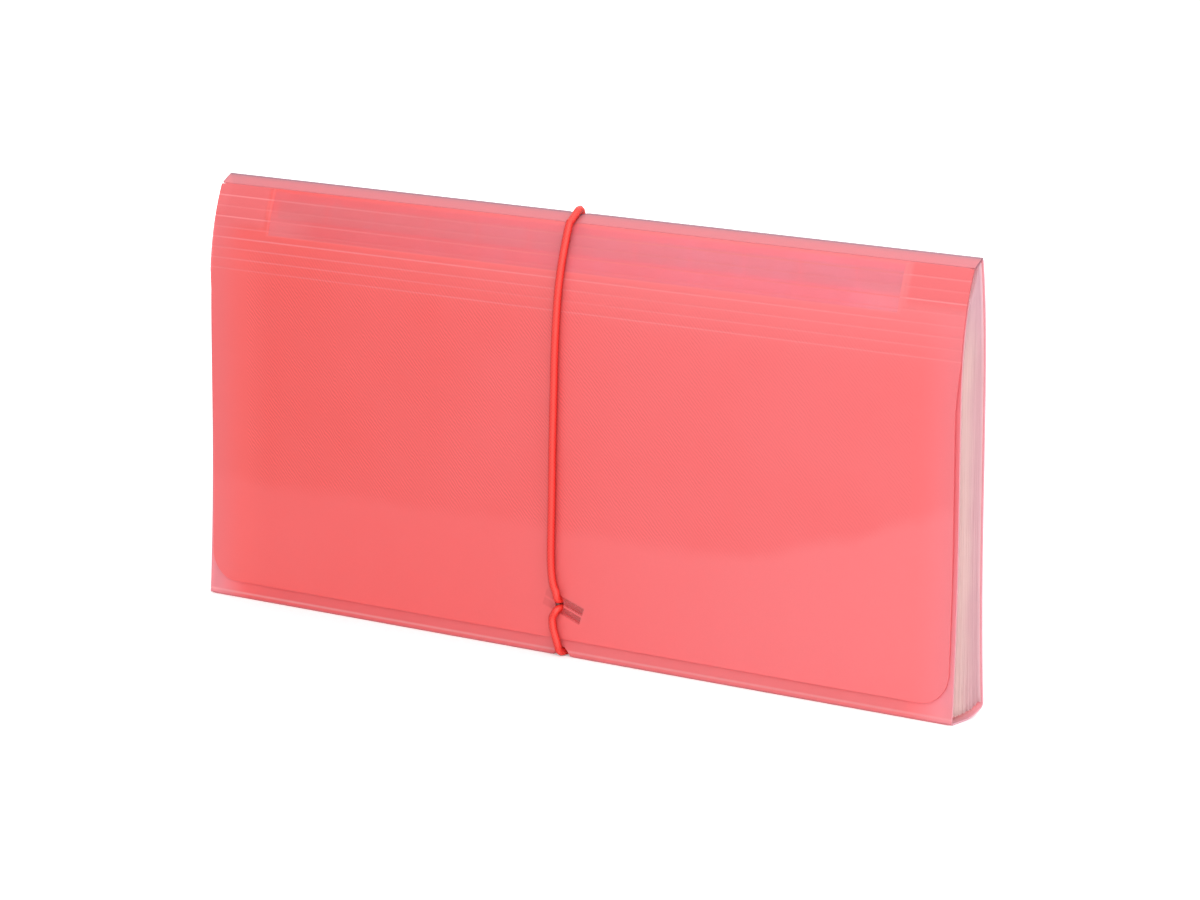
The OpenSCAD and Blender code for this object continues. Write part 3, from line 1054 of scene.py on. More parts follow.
    def score_marks(self, look: FilmLook) -> None:
        """Lays on the whitened scores, broken up along their length and fainter over the bare ends.

        Args:
            look: The film so far, which is changed.
        """
        z, scores = look.z, self.scores
        break_up = look.graph.noise(30, 3.0, (3.0, 1.0, 0.2)).rise(0.28, 0.6) * 0.7 + 0.3
        lines: Value | float = 0.0
        for height, strength in zip(scores.heights(), scores.strengths):
            lines = z.hump(height, self.score_half) * strength + lines
        look.paint((lines * break_up).limited() * (1 - self.over_ends(look) * 0.35), self.scored)

    def barb_marks(self, look: FilmLook) -> None:
        """Clears the film where the barbs press on it from behind.

        Args:
            look: The film so far, which is changed.
        """
        along, across = self.clasp.from_barbs(look.x, look.z)
        over_barbs = abs(along).rise(7.3, 6.7) * abs(abs(across) - self.clasp.strand_z).rise(1.5, 0.7)
        pressed = over_barbs * (along.rise(-6.0, 0.5) * 0.8 + 0.2)
        look.clear = (pressed * 0.36 + look.clear).limited()

    def strip_marks(self, look: FilmLook) -> None:
        """Lays the strip's own colour on, and the dark line of its rear fold.

        Args:
            look: The film so far, which is changed.
        """
        look.paint(0.85, self.strip)
        fold = look.y.rise(2.9, 3.3)
        look.paint(fold * 0.9, self.fold)
        look.clear = (self.strip_clear - fold * 0.25).limited()

    def front_marks(self, look: FilmLook) -> None:
        """Lays on the paler lower corners, the band below the hem with painted light, and painted highlight
        and shade along the foot's fold.

        Args:
            look: The film so far, which is changed.
        """
        x, z = look.x, look.z
        look.paint(z.rise(70, 4) * abs(x).rise(117, 132) * 0.7, self.low_end)
        # Painted highlight along the foot's fold.
        look.paint(z.hump(1.5, 0.6) * 0.5, self.foot_painted_highlight)
        # Partly the front's own paler band below the hem, partly painted light lifting the hem's shadow, more
        # so to the right.
        look.paint(z.rise(6.5, 4.0) * x.rise(-120, 60) * 0.25, self.below_hem)
        # Painted shade along the bottom of the foot's fold.
        look.paint(z.rise(0.7, 0.3) * 0.6, self.foot_painted_shade)

    def back_marks(self, look: FilmLook) -> None:
        """Lays painted light on the foot, most near the ends, and the mauve rims of both ends.

        Args:
            look: The film so far, which is changed.
        """
        x, z = look.x, look.z
        # Painted light: the foot is painted paler, most near the ends, lifting the shade that the pleats cast
        # there.
        look.paint(z.rise(5, 1) * 0.75, self.foot_painted_light)
        look.paint(z.rise(4, 1) * abs(x).rise(112, 125) * 0.8, self.foot_end_painted_light)
        look.paint(abs(x).rise(131.5, 132.3) * 0.85, self.back_rim)


@dataclass(frozen=True)
class CutEdgeFinish:
    """The cut edge of a film, where its colour gathers."""

    name: str
    colour: Colour
    # foot is the edge's colour near the foot, painted paler on the flap to lift the hem's shadow.
    foot: Colour
    clear: float = 0.15
    rough: float = 0.3

    def material(self) -> bpy.types.Material:
        """Builds the edge, with fine marks of the knife along it; near the foot it can be painted paler as
        painted light.

        Returns:
            The finished material.
        """
        graph = Graph.for_material(self.name)
        z = graph.place()[2]
        marks = graph.noise(0.5, 2.0, (6.0, 1.0, 6.0))
        # Painted light: near the foot the edge takes the paler foot colour, which on the flap lifts the hem's
        # shadow.
        colour = graph.mix(z.rise(22, 8), self.colour, self.foot)
        surface = graph.principled(
            {
                "Base Color": graph.shaded(colour, 0.85 + marks * 0.3),
                "Roughness": marks * 0.2 + self.rough,
                "Normal": graph.bump(marks, 0.01),
            }
        )
        return graph.finish(graph.filtered(self.clear, surface, self.colour))


@dataclass(frozen=True)
class PleatFinish:
    """Thin pale film of the pleated gussets.

    carried is the colour of a painted glow deep in the folds, standing in for the light that the thin
    film scatters there, and glow its strength.
    """

    name: str
    front: Colour = (0.87, 0.63, 0.61)
    rear: Colour = (0.79, 0.49, 0.53)
    top: Colour = (0.84, 0.55, 0.62)
    # inside is painted paler for the deep folds, lifting their shade.
    inside: Colour = (1.0, 0.93, 0.92)
    carried: Colour = (1.0, 0.66, 0.64)
    tint: Colour = (1.0, 0.85, 0.84)
    clear: float = 0.12
    rough: float = 0.48
    glow: float = 0.15

    def material(self) -> bpy.types.Material:
        """Builds the film, paler in front, streaked along its folds, and with painted light deep in them.

        Returns:
            The finished material.
        """
        graph = Graph.for_material(self.name)
        across, z = graph.strand("pleats")
        streak = graph.noise(1.4, 2.0, (0.5, 0.35, 26.0))
        cloud = graph.noise(16)
        toward_rear = (across + (cloud - 0.5) * 0.5).rise(0.35, 0.95)
        colour = graph.mix(toward_rear, self.front, self.rear)
        colour = graph.mix(z.rise(96, 118) * 0.8, colour, self.top)
        # Painted light: deep in the folds the film is painted paler and glows, lifting the shade there.
        within = abs(graph.place()[0]).rise(131.4, 128.0)
        colour = graph.mix(within, colour, self.inside)
        surface = graph.principled(
            {
                "Base Color": graph.shaded(colour, 0.93 + streak * 0.14),
                "Roughness": self.rough,
                "Emission Color": graph.mix(within, (0.0, 0.0, 0.0), self.carried),
                "Emission Strength": self.glow,
                "Normal": graph.bump(graph.noise(0.3), 0.02),
            }
        )
        return graph.finish(graph.filtered(within * 0.3 + self.clear, surface, self.tint))


@dataclass(frozen=True)
class DividerFinish:
    """The dividers' film, a little paler than the cover."""

    name: str
    colour: Colour = (1.0, 0.34, 0.34)
    pale: Colour = (1.0, 0.46, 0.45)
    tint: Colour = (1.0, 0.5, 0.5)
    clear: float = 0.3
    rough: float = 0.4

    def material(self) -> bpy.types.Material:
        """Builds the film with a fine grain and soft blotches.

        Returns:
            The finished material.
        """
        graph = Graph.for_material(self.name)
        grain = graph.noise(0.4)
        colour = graph.mix(graph.noise(30, 3.0).rise(0.3, 0.7), self.colour, self.pale)
        surface = graph.principled(
            {
                "Base Color": graph.shaded(colour, 0.95 + grain * 0.1),
                "Roughness": self.rough,
                "Normal": graph.bump(grain, 0.02),
            }
        )
        return graph.finish(graph.filtered(self.clear, surface, self.tint))


@dataclass(frozen=True)
class ClearFinish:
    """Clear film of the index tabs."""

    name: str
    colour: Colour = (0.98, 0.96, 0.96)
    tint: Colour = (1.0, 0.99, 0.99)
    clear: float = 0.85
    glossy_ior: float = 1.8

    def material(self) -> bpy.types.Material:
        """Builds the film: mostly clear, with faint scuffs.

        Returns:
            The finished material.
        """
        graph = Graph.for_material(self.name)
        scuff = graph.noise(3.0, 3.0, (2.0, 1.0, 1.0))
        surface = graph.principled(
            {
                "Base Color": graph.shaded(self.colour, 0.94 + scuff * 0.1),
                "Roughness": scuff * 0.25 + 0.08,
                "IOR": self.glossy_ior,
                "Normal": graph.bump(scuff, 0.02),
            }
        )
        return graph.finish(graph.filtered(self.clear + (scuff - 0.5) * 0.12, surface, self.tint))


@dataclass(frozen=True)
class PaperFinish:
    """White card of the labels."""

    name: str
    colour: Colour = (0.96, 0.95, 0.95)
    rough: float = 0.85

    def material(self) -> bpy.types.Material:
        """Builds the card with its fibres.

        Returns:
            The finished material.
        """
        graph = Graph.for_material(self.name)
        fibre = graph.noise(0.35, 4.0, (3.0, 1.0, 1.0))
        surface = graph.principled(
            {
                "Base Color": graph.shaded(self.colour, 0.96 + fibre * 0.08),
                "Roughness": self.rough,
                "Normal": graph.bump(fibre, 0.03),
            }
        )
        return graph.finish(surface)


@dataclass(frozen=True)
class CordFinish:
    """Braided red elastic.

    around is the number of strands that cross a ring of it, lay the length of one stitch along it
    in millimetres, and outward the share of a turn at which it faces away from the wallet, where
    its painted highlight sits and its painted shade is least.
    """

    name: str
    thread: Colour = (0.86, 0.030, 0.020)
    # groove is a painted shade for the braid's grooves and flanks, and the colour after it a painted
    # highlight.
    groove: Colour = (0.46, 0.008, 0.008)
    painted_highlight: Colour = (0.97, 0.07, 0.05)
    around: int = 7
    lay: float = 1.05
    outward: float = 0.85
    rough: float = 0.42
    specular: float = 0.55
    bump_depth: float = 0.1

    def material(self) -> bpy.types.Material:
        """Builds the braid from two sets of crossing strands, with painted shade and a painted highlight.

        Returns:
            The finished material.
        """
        graph = Graph.for_material(self.name)
        along, turn = graph.strand("braid")
        phase = along * (FULL_TURN / self.lay)
        spin = turn * (FULL_TURN * self.around)
        cross = abs(((phase + spin) * 0.5).sine() * ((phase - spin) * 0.5).sine())
        fuzz = graph.noise(0.22)
        height = cross**0.6 + (fuzz - 0.5) * 0.25
        # Painted shade: the cord darkens towards its flanks, away from its outward face.
        lit = abs(turn - self.outward).rise(0.26, 0.08) * 0.7 + 0.3
        woven = cross.rise(0.02, 0.5) * 0.5 + 0.5 + (fuzz - 0.5) * 0.3
        # Painted shade in the braid's grooves and on the flanks.
        colour = graph.mix((woven * lit).limited(), self.groove, self.thread)
        # Painted highlight: a pale streak along the outward face of the cord.
        crest = abs(turn - self.outward - 0.01).rise(0.09, 0.02)
        colour = graph.mix(crest * woven.limited() * 0.7, colour, self.painted_highlight)
        surface = graph.principled(
            {
                "Base Color": colour,
                "Roughness": self.rough,
                "Specular IOR Level": self.specular,
                "Normal": graph.bump(height, self.bump_depth, 0.8),
            }
        )
        return graph.finish(surface)


@dataclass(frozen=True)
class BarbFinish:
    """Drawn and crimped steel."""

    name: str
    colour: Colour = (0.33, 0.30, 0.28)

    def material(self) -> bpy.types.Material:
        """Builds the steel, brushed along its length and duller in blotches.

        Returns:
            The finished material.
        """
        graph = Graph.for_material(self.name)
        brushed = graph.noise(0.16, 2.0, (14.0, 1.0, 1.0))
        stain = graph.noise(1.8, 3.0)
        surface = graph.principled(
            {
                "Base Color": graph.shaded(self.colour, 0.75 + stain * 0.4),
                "Metallic": 1.0,
                "Roughness": brushed * 0.25 + 0.28,
                "Normal": graph.bump(brushed, 0.015),
            }
        )
        return graph.finish(surface)


@dataclass(frozen=True)
class Finishes:
    """All the materials, made once."""

    flap: bpy.types.Material
    front: bpy.types.Material
    strip: bpy.types.Material
    back: bpy.types.Material
    flap_edge: bpy.types.Material
    strip_edge: bpy.types.Material
    front_edge: bpy.types.Material
    edge: bpy.types.Material
    pleats: bpy.types.Material
    pleat_edge: bpy.types.Material
    divider: bpy.types.Material
    divider_edge: bpy.types.Material
    tab: bpy.types.Material
    label: bpy.types.Material
    cord: bpy.types.Material
    barb: bpy.types.Material

    @classmethod
    def made(cls) -> "Finishes":
        """Builds every material.

        Returns:
            The materials under their names.
        """
        mauve, line, dark = (0.80, 0.44, 0.52), (0.78, 0.34, 0.40), (0.34, 0.11, 0.15)
        pleat, divider = (0.80, 0.55, 0.56), (0.8, 0.22, 0.22)
        # The flap's edge is painted paler near the foot, lifting the shadow along the hem.
        flap_edge = CutEdgeFinish("flap_cut_edge", (0.85, 0.20, 0.22), (1.0, 0.30, 0.32), 0.45)
        # The front's deep and pale are the ends of its painted left-to-right light.
        front = FilmFinish("front_film", FilmSide.FRONT, deep=(0.97, 0.16, 0.17), pale=(1.0, 0.22, 0.24))
        return cls(
            flap=FilmFinish("flap_film", FilmSide.FLAP, tint=(1.0, 0.74, 0.76)).material(),
            front=front.material(),
            strip=FilmFinish("strip_film", FilmSide.STRIP).material(),
            back=FilmFinish("back_film", FilmSide.BACK).material(),
            flap_edge=flap_edge.material(),
            strip_edge=CutEdgeFinish("strip_cut_edge", dark, dark).material(),
            front_edge=CutEdgeFinish("front_cut_edge", line, line).material(),
            edge=CutEdgeFinish("film_cut_edge", mauve, mauve).material(),
            pleats=PleatFinish("pleat_film").material(),
            pleat_edge=CutEdgeFinish("pleat_cut_edge", pleat, pleat).material(),
            divider=DividerFinish("divider_film").material(),
            divider_edge=CutEdgeFinish("divider_cut_edge", divider, divider).material(),
            tab=ClearFinish("tab_film").material(),
            label=PaperFinish("label_card").material(),
            cord=CordFinish("braided_elastic").material(),
            barb=BarbFinish("crimped_steel").material(),
        )


# ---------------------------------------------------------------- sub-assemblies


@dataclass
class CoverSheet:
    """The creased sheet: flap, top strip, back with foot, and front, each on its own body.

    The sheet is dented where the cord crosses its top edge, arched where it crosses the foot, and
    pressed in where the barbs lie. The ripples keep clear of the sheet next to them.
    """

    form: WalletForm
    finishes: Finishes
    hem_z: float = 5.0
    corner_r: float = 9.0
    side_inset: float = 1.2
    taper: tuple[float, float] = (85.75, 99.75)
    score_depth: float = 0.09
    score_half: float = 0.3
    ripple_broad: float = 0.045
    ripple_fine: float = 0.02
    ripple_limit: float = 0.02
    dent_fade: float = 5.0
    flap_dent: float = 0.6
    flap_sink: float = 0.8
    flap_sink_fade: float = 4.0
    back_dent: float = 0.5
    strip_bow: float = 0.1
    foot_bend: float = 1.3
    arch_fade_back: float = 12.0
    arch_fade_front: float = 9.0
    press_y: float = -5.86
    press_half: tuple[float, float] = (6.6, 2.4)
    press_fade: tuple[float, float] = (3.2, 2.6)
    hem_round: float = 0.1
    crease_round: float = 0.25
    rear_round: float = 0.24
    hole_cells: int = 4
    scores: Scores = Scores()
    clasp: Clasp = Clasp()

    def build(self) -> None:
        """Makes the four pieces of the sheet."""
        made = self.finishes
        flap = make_piece("cover_flap", self.flap_mesh(), (made.flap, made.flap_edge), self.form)
        settle(flap, "flap", "cover_sheet", "flap")
        strip = make_piece("cover_top_strip", self.strip_mesh(), (made.strip, made.strip_edge), self.form)
        settle(strip, "strip", "cover_sheet", "top_strip")
        back = make_piece("cover_back_and_foot", self.back_mesh(), (made.back, made.edge), self.form)
        settle(back, "wallet", "cover_sheet", "back_cover", "bottom_panel")
        front = make_piece("cover_front", self.front_mesh(), (made.front, made.front_edge), self.form)
        settle(front, "front", "cover_sheet", "front_cover")

    def flap_half(self, z: Array) -> Array:
        """Half the flap's width at a height, round its lower corners and narrower below its scores.

        Args:
            z: Heights.

        Returns:
            Half the width at each.
        """
        form = self.form
        narrow = form.half - self.side_inset
        low, high = self.taper
        wide = narrow + self.side_inset * np.clip((z - low) / (high - low), 0, 1)
        drop = np.clip(self.hem_z + self.corner_r - z, 0, self.corner_r)
        return wide - self.corner_r + np.sqrt(np.maximum(self.corner_r**2 - drop**2, 0))

    def ripple(self, x: Array, z: Array) -> Array:
        """Slight unevenness of a cover that is drawn together by the cord."""
        broad = self.ripple_broad * np.sin(x / 21.0 + z / 34.0) * np.sin(z / 27.0 + 1.3)
        return broad + self.ripple_fine * np.sin(x / 8.3 - z / 15.0)

    def flap_point(self, x: Array, z: Array) -> tuple[Array, Array]:
        """The flap's outer and inner points.

        Args:
            x: Places along the length.
            z: Heights.

        Returns:
            Two arrays of points.
        """
        form = self.form
        x, z = np.broadcast_arrays(np.asarray(x, float), np.asarray(z, float))
        y = form.flap_y(z)
        groove = sum(np.maximum(0, 1 - np.abs(z - mark) / self.score_half) for mark in self.scores.heights())
        below = form.flap_axis[1] - z
        dent = form.crest(x)
        uneven = np.minimum(self.ripple(x, z), self.ripple_limit) * smooth(z, 118, 100)
        y = y + self.flap_dent * dent * np.exp(-below / self.dent_fade) + uneven
        height = z - self.flap_sink * dent * np.exp(-below / self.flap_sink_fade)
        outer = np.stack([x, y + groove * self.score_depth, height], -1)
        inner = np.stack([x, y + form.sheet, height], -1)
        return outer, inner

    def flap_rows(self) -> Array:
        """Heights of the flap's grid, close together in its corners, round its hole and at its scores.

        Returns:
            The heights in rising order.
        """
        corner = [5.0, 5.12, 5.45, 6.0, 6.8, 7.8, 9.0, 10.0]
        hole = list(np.arange(11.0, 19.1, 1.0))
        body = [20.0, 21.5, 23.5, *np.arange(26, 97.5, 3.0)]
        marks: list[float] = []
        for middle in self.scores.heights()[::-1]:
            marks += [middle + step for step in (-0.9, -0.3, 0.0, 0.3, 0.9)]
        return np.array([*corner, *hole, *body, *marks, 123.0, 123.7, self.form.flap_axis[1]])

    def flap_mesh(self) -> MeshParts:
        """The flap, with its hem, corners, scores, dent and hole.

        Returns:
            The mesh.
        """
        form = self.form
        rows = self.flap_rows()
        columns = form.columns() / form.half
        x = columns[None, :] * self.flap_half(rows)[:, None]
        outer, inner = self.flap_point(x, rows[:, None])
        reach = self.hole_cells
        hole_x, hole_z = self.clasp.hole
        row = int(np.argmin(abs(rows - (hole_z - reach))))
        column = int(np.argmin(abs(form.columns() - (hole_x - reach))))
        block = ((row, row + 2 * reach), (column, column + 2 * reach))
        hole = RoundHole(*block, self.clasp.hole, self.clasp.hole_radii, self.flap_point)
        return closed_sheet(outer, inner, (self.hem_round, self.crease_round, 0.0, 0.0), hole, (1,))

    def strip_mesh(self) -> MeshParts:
        """The strip between the two creases of the top edge, dented by the cord.

        Returns:
            The mesh.
        """
        form = self.form
        back, flap = np.array(form.back_axis), np.array(form.flap_axis)
        length = float(np.linalg.norm(flap - back))
        along = (flap - back) / length
        up = np.array([along[1], -along[0]])
        share = np.linspace(0, (length - form.crease_reach) / length, 9)[:, None]
        x = form.columns()[None, :]
        dent = form.crest(x) * (1 - 0.2 * share)
        bow = self.strip_bow * np.sin(math.pi * share)
        grids = []
        for offset in (form.sheet / 2, -form.sheet / 2):
            y, z = (back[k] + share * (flap - back)[k] + up[k] * (offset + bow) for k in (0, 1))
            grids.append(np.stack(np.broadcast_arrays(x, y + self.back_dent * dent * share, z - dent), -1))
        return closed_sheet(grids[0], grids[1], (self.crease_round, self.rear_round, 0.0, 0.0), None, (0, 1))

    def back_mesh(self) -> MeshParts:
        """The back and the foot in one, bent round the foot's rear edge.

        Returns:
            The mesh.
        """
        form = self.form
        bend, t = self.foot_bend, form.sheet
        rear = float(form.back_y(bend))
        outer_path: list[tuple[float, float]] = []
        inner_path: list[tuple[float, float]] = []
        for y in np.linspace(form.foot_axis[0] + form.crease_reach, rear - bend, 13):
            outer_path.append((y, 0.0))
            inner_path.append((y, t))
        for a in np.radians(np.linspace(12, 78, 6)):
            for path, r in ((outer_path, bend), (inner_path, bend - t)):
                path.append((rear - bend + r * math.sin(a), bend - r * math.cos(a)))
        top = form.back_axis[1] - form.crease_reach
        crown = [107, 110, 113, 116, 119, 121.5, 123.5, 125, top]
        for z in [bend, 2.2, 4, 6, 9, 12, 16, *np.arange(20, 104, 5.0), *crown]:
            outer_path.append((float(form.back_y(z)), z))
            inner_path.append((float(form.back_y(z)) - t, z))
        x = form.columns()[None, :]
        grids = []
        for path in (outer_path, inner_path):
            y, z = (np.array(path)[:, i : i + 1] for i in (0, 1))
            dent = form.crest(x) * np.exp(-(top - z) / self.dent_fade)
            wall = smooth(z, 4, 12) * smooth(z, 122, 108)
            shift = self.ripple(x + 60, z) * wall - self.back_dent * dent
            rise = form.end_lift(x, y, z) + form.foot_arch(x, z, self.arch_fade_back) - dent
            grids.append(np.stack(np.broadcast_arrays(x, y + shift, z + rise), -1))
        return closed_sheet(grids[0], grids[1], (self.rear_round, self.rear_round, 0.0, 0.0), None, (0, 1))

    def front_mesh(self) -> MeshParts:
        """The front cover, with a pressed place that the barbs lie in.

        Returns:
            The mesh.
        """
        form = self.form
        low = [0.25, 0.8, 1.6, 2.6, 4, 5.5, 7, 8, 9, 10, *np.arange(11, 23, 1.0), 24, 26, 29]
        high = [*np.arange(33, 100, 4.5), 102, 105, 108, 111, 113.5, 115.2, form.pocket_top]
        z = np.array([*low, *high])[:, None]
        x = form.columns()[None, :]
        places = zip(self.clasp.from_barbs(x, z), self.press_half, self.press_fade)
        past = [np.maximum(np.abs(place) - half, 0) / fade for place, half, fade in places]
        press = smooth(np.hypot(*past), 1, 0.12)
        y = form.front_y(z)
        y = y + press * np.maximum(self.press_y - y, 0)
        uneven = np.maximum(self.ripple(x - 30, z), -self.ripple_limit)
        y = y + uneven * smooth(z, 26, 40) * smooth(z, 112, 100)
        height = z + form.foot_arch(x, z, self.arch_fade_front)
        outer = np.stack(np.broadcast_arrays(x, y, height), -1)
        inner = outer + np.array([0, form.sheet, 0])
        return closed_sheet(outer, inner, (self.crease_round, self.hem_round, 0.0, 0.0), None, (0,))


@dataclass
class Gusset:
    """One pleated end of the pockets, between the back and the front."""

    form: WalletForm
    finishes: Finishes
    side: int
    name: str
    pockets: int = 13
    outer_x: float = 132.55
    depth: float = 14.1
    clear: float = 0.25
    thickness: float = 0.1
    foot_z: float = 1.7
    rear_rise: float = 9.5
    tip_x: float = 0.28
    tip_y: float = 0.1
    flange_y: float = 0.13
    flange_x: float = 6.0
    flange_past: float = 0.35
    sway_share: float = 0.07
    crest_sway: float = 0.22
    tight_crown: float = 0.55
    edge_reach: float = 0.03
    seed: int = 11
    phase: float = 6.28

    def fold_y(self, number: float, z: float) -> float:
        """Y of a fold line: 0 lies on the front cover and the last on the back cover.

        Args:
            number: The fold line, counted in pockets.
            z: The height.

        Returns:
            Its Y at that height.
        """
        form = self.form
        first = float(form.front_y(z)) + form.sheet + self.clear
        last = float(form.back_y(z)) - form.sheet - self.clear
        return first + (last - first) * number / self.pockets

    def top_z(self, share: float) -> float:
        """Height of the pleats' top edge, which rises from the front cover to the back crease."""
        return self.form.pocket_top + self.rear_rise * float(smooth(share, 0.1, 1.0))

    def level(self, rise: float, wander: Array) -> tuple[Array, Array, Array]:
        """The pleated line at one level.

        Args:
            rise: 0 at the foot and 1 at the top edge.
            wander: Each fold's own sizes and phases of its unevenness.

        Returns:
            Points across the pleats, their normals in X and Y, and their share from front to back.
        """
        inner, outer = self.outer_x - self.depth, self.outer_x
        folds = 2 * self.pockets + 1
        points: list[tuple[float, float, float]] = []
        shares: list[float] = []

        def add(k: float, x: float, shift: float) -> None:
            """Adds a point near fold k.

            Args:
                k: The fold's number, with halves between two.
                x: The point's distance from the wallet's middle.
                shift: How far it stands off the fold line along Y.
            """
            share = min(max(k / (folds - 1), 0.0), 1.0)
            z = self.foot_z + (self.top_z(share) - self.foot_z) * rise
            points.append((x, self.fold_y(k / 2, z) + shift, z))
            shares.append(share)

        for k in range(folds):
            w = wander[k]
            z = self.foot_z + (self.form.pocket_top - self.foot_z) * rise
            sway = w[0] * math.sin(z / 19 + w[1]) + w[2] * math.sin(z / 47 + w[3])
            pull = self.tip_x if k % 2 else -self.tip_x
            if k in (0, folds - 1):
                away = -1 if k == 0 else 1
                flange = [
                    (inner + self.tip_x, -self.tip_y * away),
                    (inner, 0.0),
                    (inner + self.tip_x, self.tip_y * away),
                    (inner + self.flange_x, self.flange_y * away),
                    (outer + self.flange_past, self.flange_y * away),
                ]
                for x, shift in flange if k else flange[::-1]:
                    add(k, x, shift)
            else:
                x = inner if k % 2 == 0 else outer - self.crest_sway * abs(sway)
                open_share = self.pitch_share(rise)
                for tip, shift in ((x - pull, -self.tip_y), (x, 0.0), (x - pull, self.tip_y)):
                    add(k, tip, (shift + self.sway_share * sway) * open_share)
            if k < folds - 1:
                add(k + 0.5, inner + self.depth / 2, 0.0)
        line = np.array(points)
        run = np.gradient(line[:, :2], axis=0)
        normal = np.stack([-run[:, 1], run[:, 0]], -1)
        normal /= np.linalg.norm(normal, axis=1, keepdims=True)
        return line, normal, np.array(shares)

    def pitch_share(self, rise: float) -> float:
        """How tight the folds are: 1 up to the crown, less above."""
        return 1 - self.tight_crown * float(smooth(rise, 0.75, 1.0))

    def build(self) -> None:
        """Makes the pleats, which ride on no body."""
        form = self.form
        chance = np.random.default_rng(self.seed + self.side)
        most = np.array([1, self.phase, 1, self.phase])
        wander = chance.uniform(0.4, 1.0, (2 * self.pockets + 1, 4)) * most
        outer, inner, across = [], [], []
        low = (0, 0.02, 0.05, 0.09, 0.14, 0.2, 0.27, 0.34, 0.41, 0.48, 0.55, 0.62)
        for rise in (*low, *np.linspace(0.68, 1, 14)):
            line, normal, share = self.level(float(rise), wander)
            z = line[:, 2] + form.end_lift(self.outer_x, line[:, 1], line[:, 2])
            for grid, offset in ((outer, 0.5), (inner, -0.5)):
                place = line[:, :2] + normal * self.thickness * offset
                grid.append(np.stack([place[:, 0] * self.side, place[:, 1], z], -1))
            across.append(share)
        parts = closed_sheet(np.array(outer), np.array(inner), (self.edge_reach,) * 4)
        piece = make_piece(self.name, parts, (self.finishes.pleats, self.finishes.pleat_edge), form, 70)
        self.map_pleats(piece, np.concatenate(across))
        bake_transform(piece)
        settle(piece, "", "gusset_sheet", self.name.replace("pleats", "gusset"))

    def map_pleats(self, piece: bpy.types.Object, across: Array) -> None:
        """Keeps each point's share from front to back, and its height, as a UV map.

        Args:
            piece: The pleats.
            across: The shares of the outer grid's points.
        """
        mesh = piece.data
        z = np.array([v.co.z for v in mesh.vertices]) / MM
        y = np.array([v.co.y for v in mesh.vertices]) / MM - self.form.centre_y
        share = np.zeros(len(z))
        share[: len(across)] = across
        share[len(across) : 2 * len(across)] = across
        rim = np.arange(2 * len(across), len(z))
        first = np.array([self.fold_y(0, float(h)) for h in z[rim]])
        last = np.array([self.fold_y(self.pockets, float(h)) for h in z[rim]])
        share[rim] = np.clip((y[rim] - first) / (last - first), 0, 1)
        layer = mesh.uv_layers.new(name="pleats")
        at = np.array([loop.vertex_index for loop in mesh.loops])
        layer.uv.foreach_set("vector", np.stack([share[at], z[at]], -1).astype(np.float32).ravel())


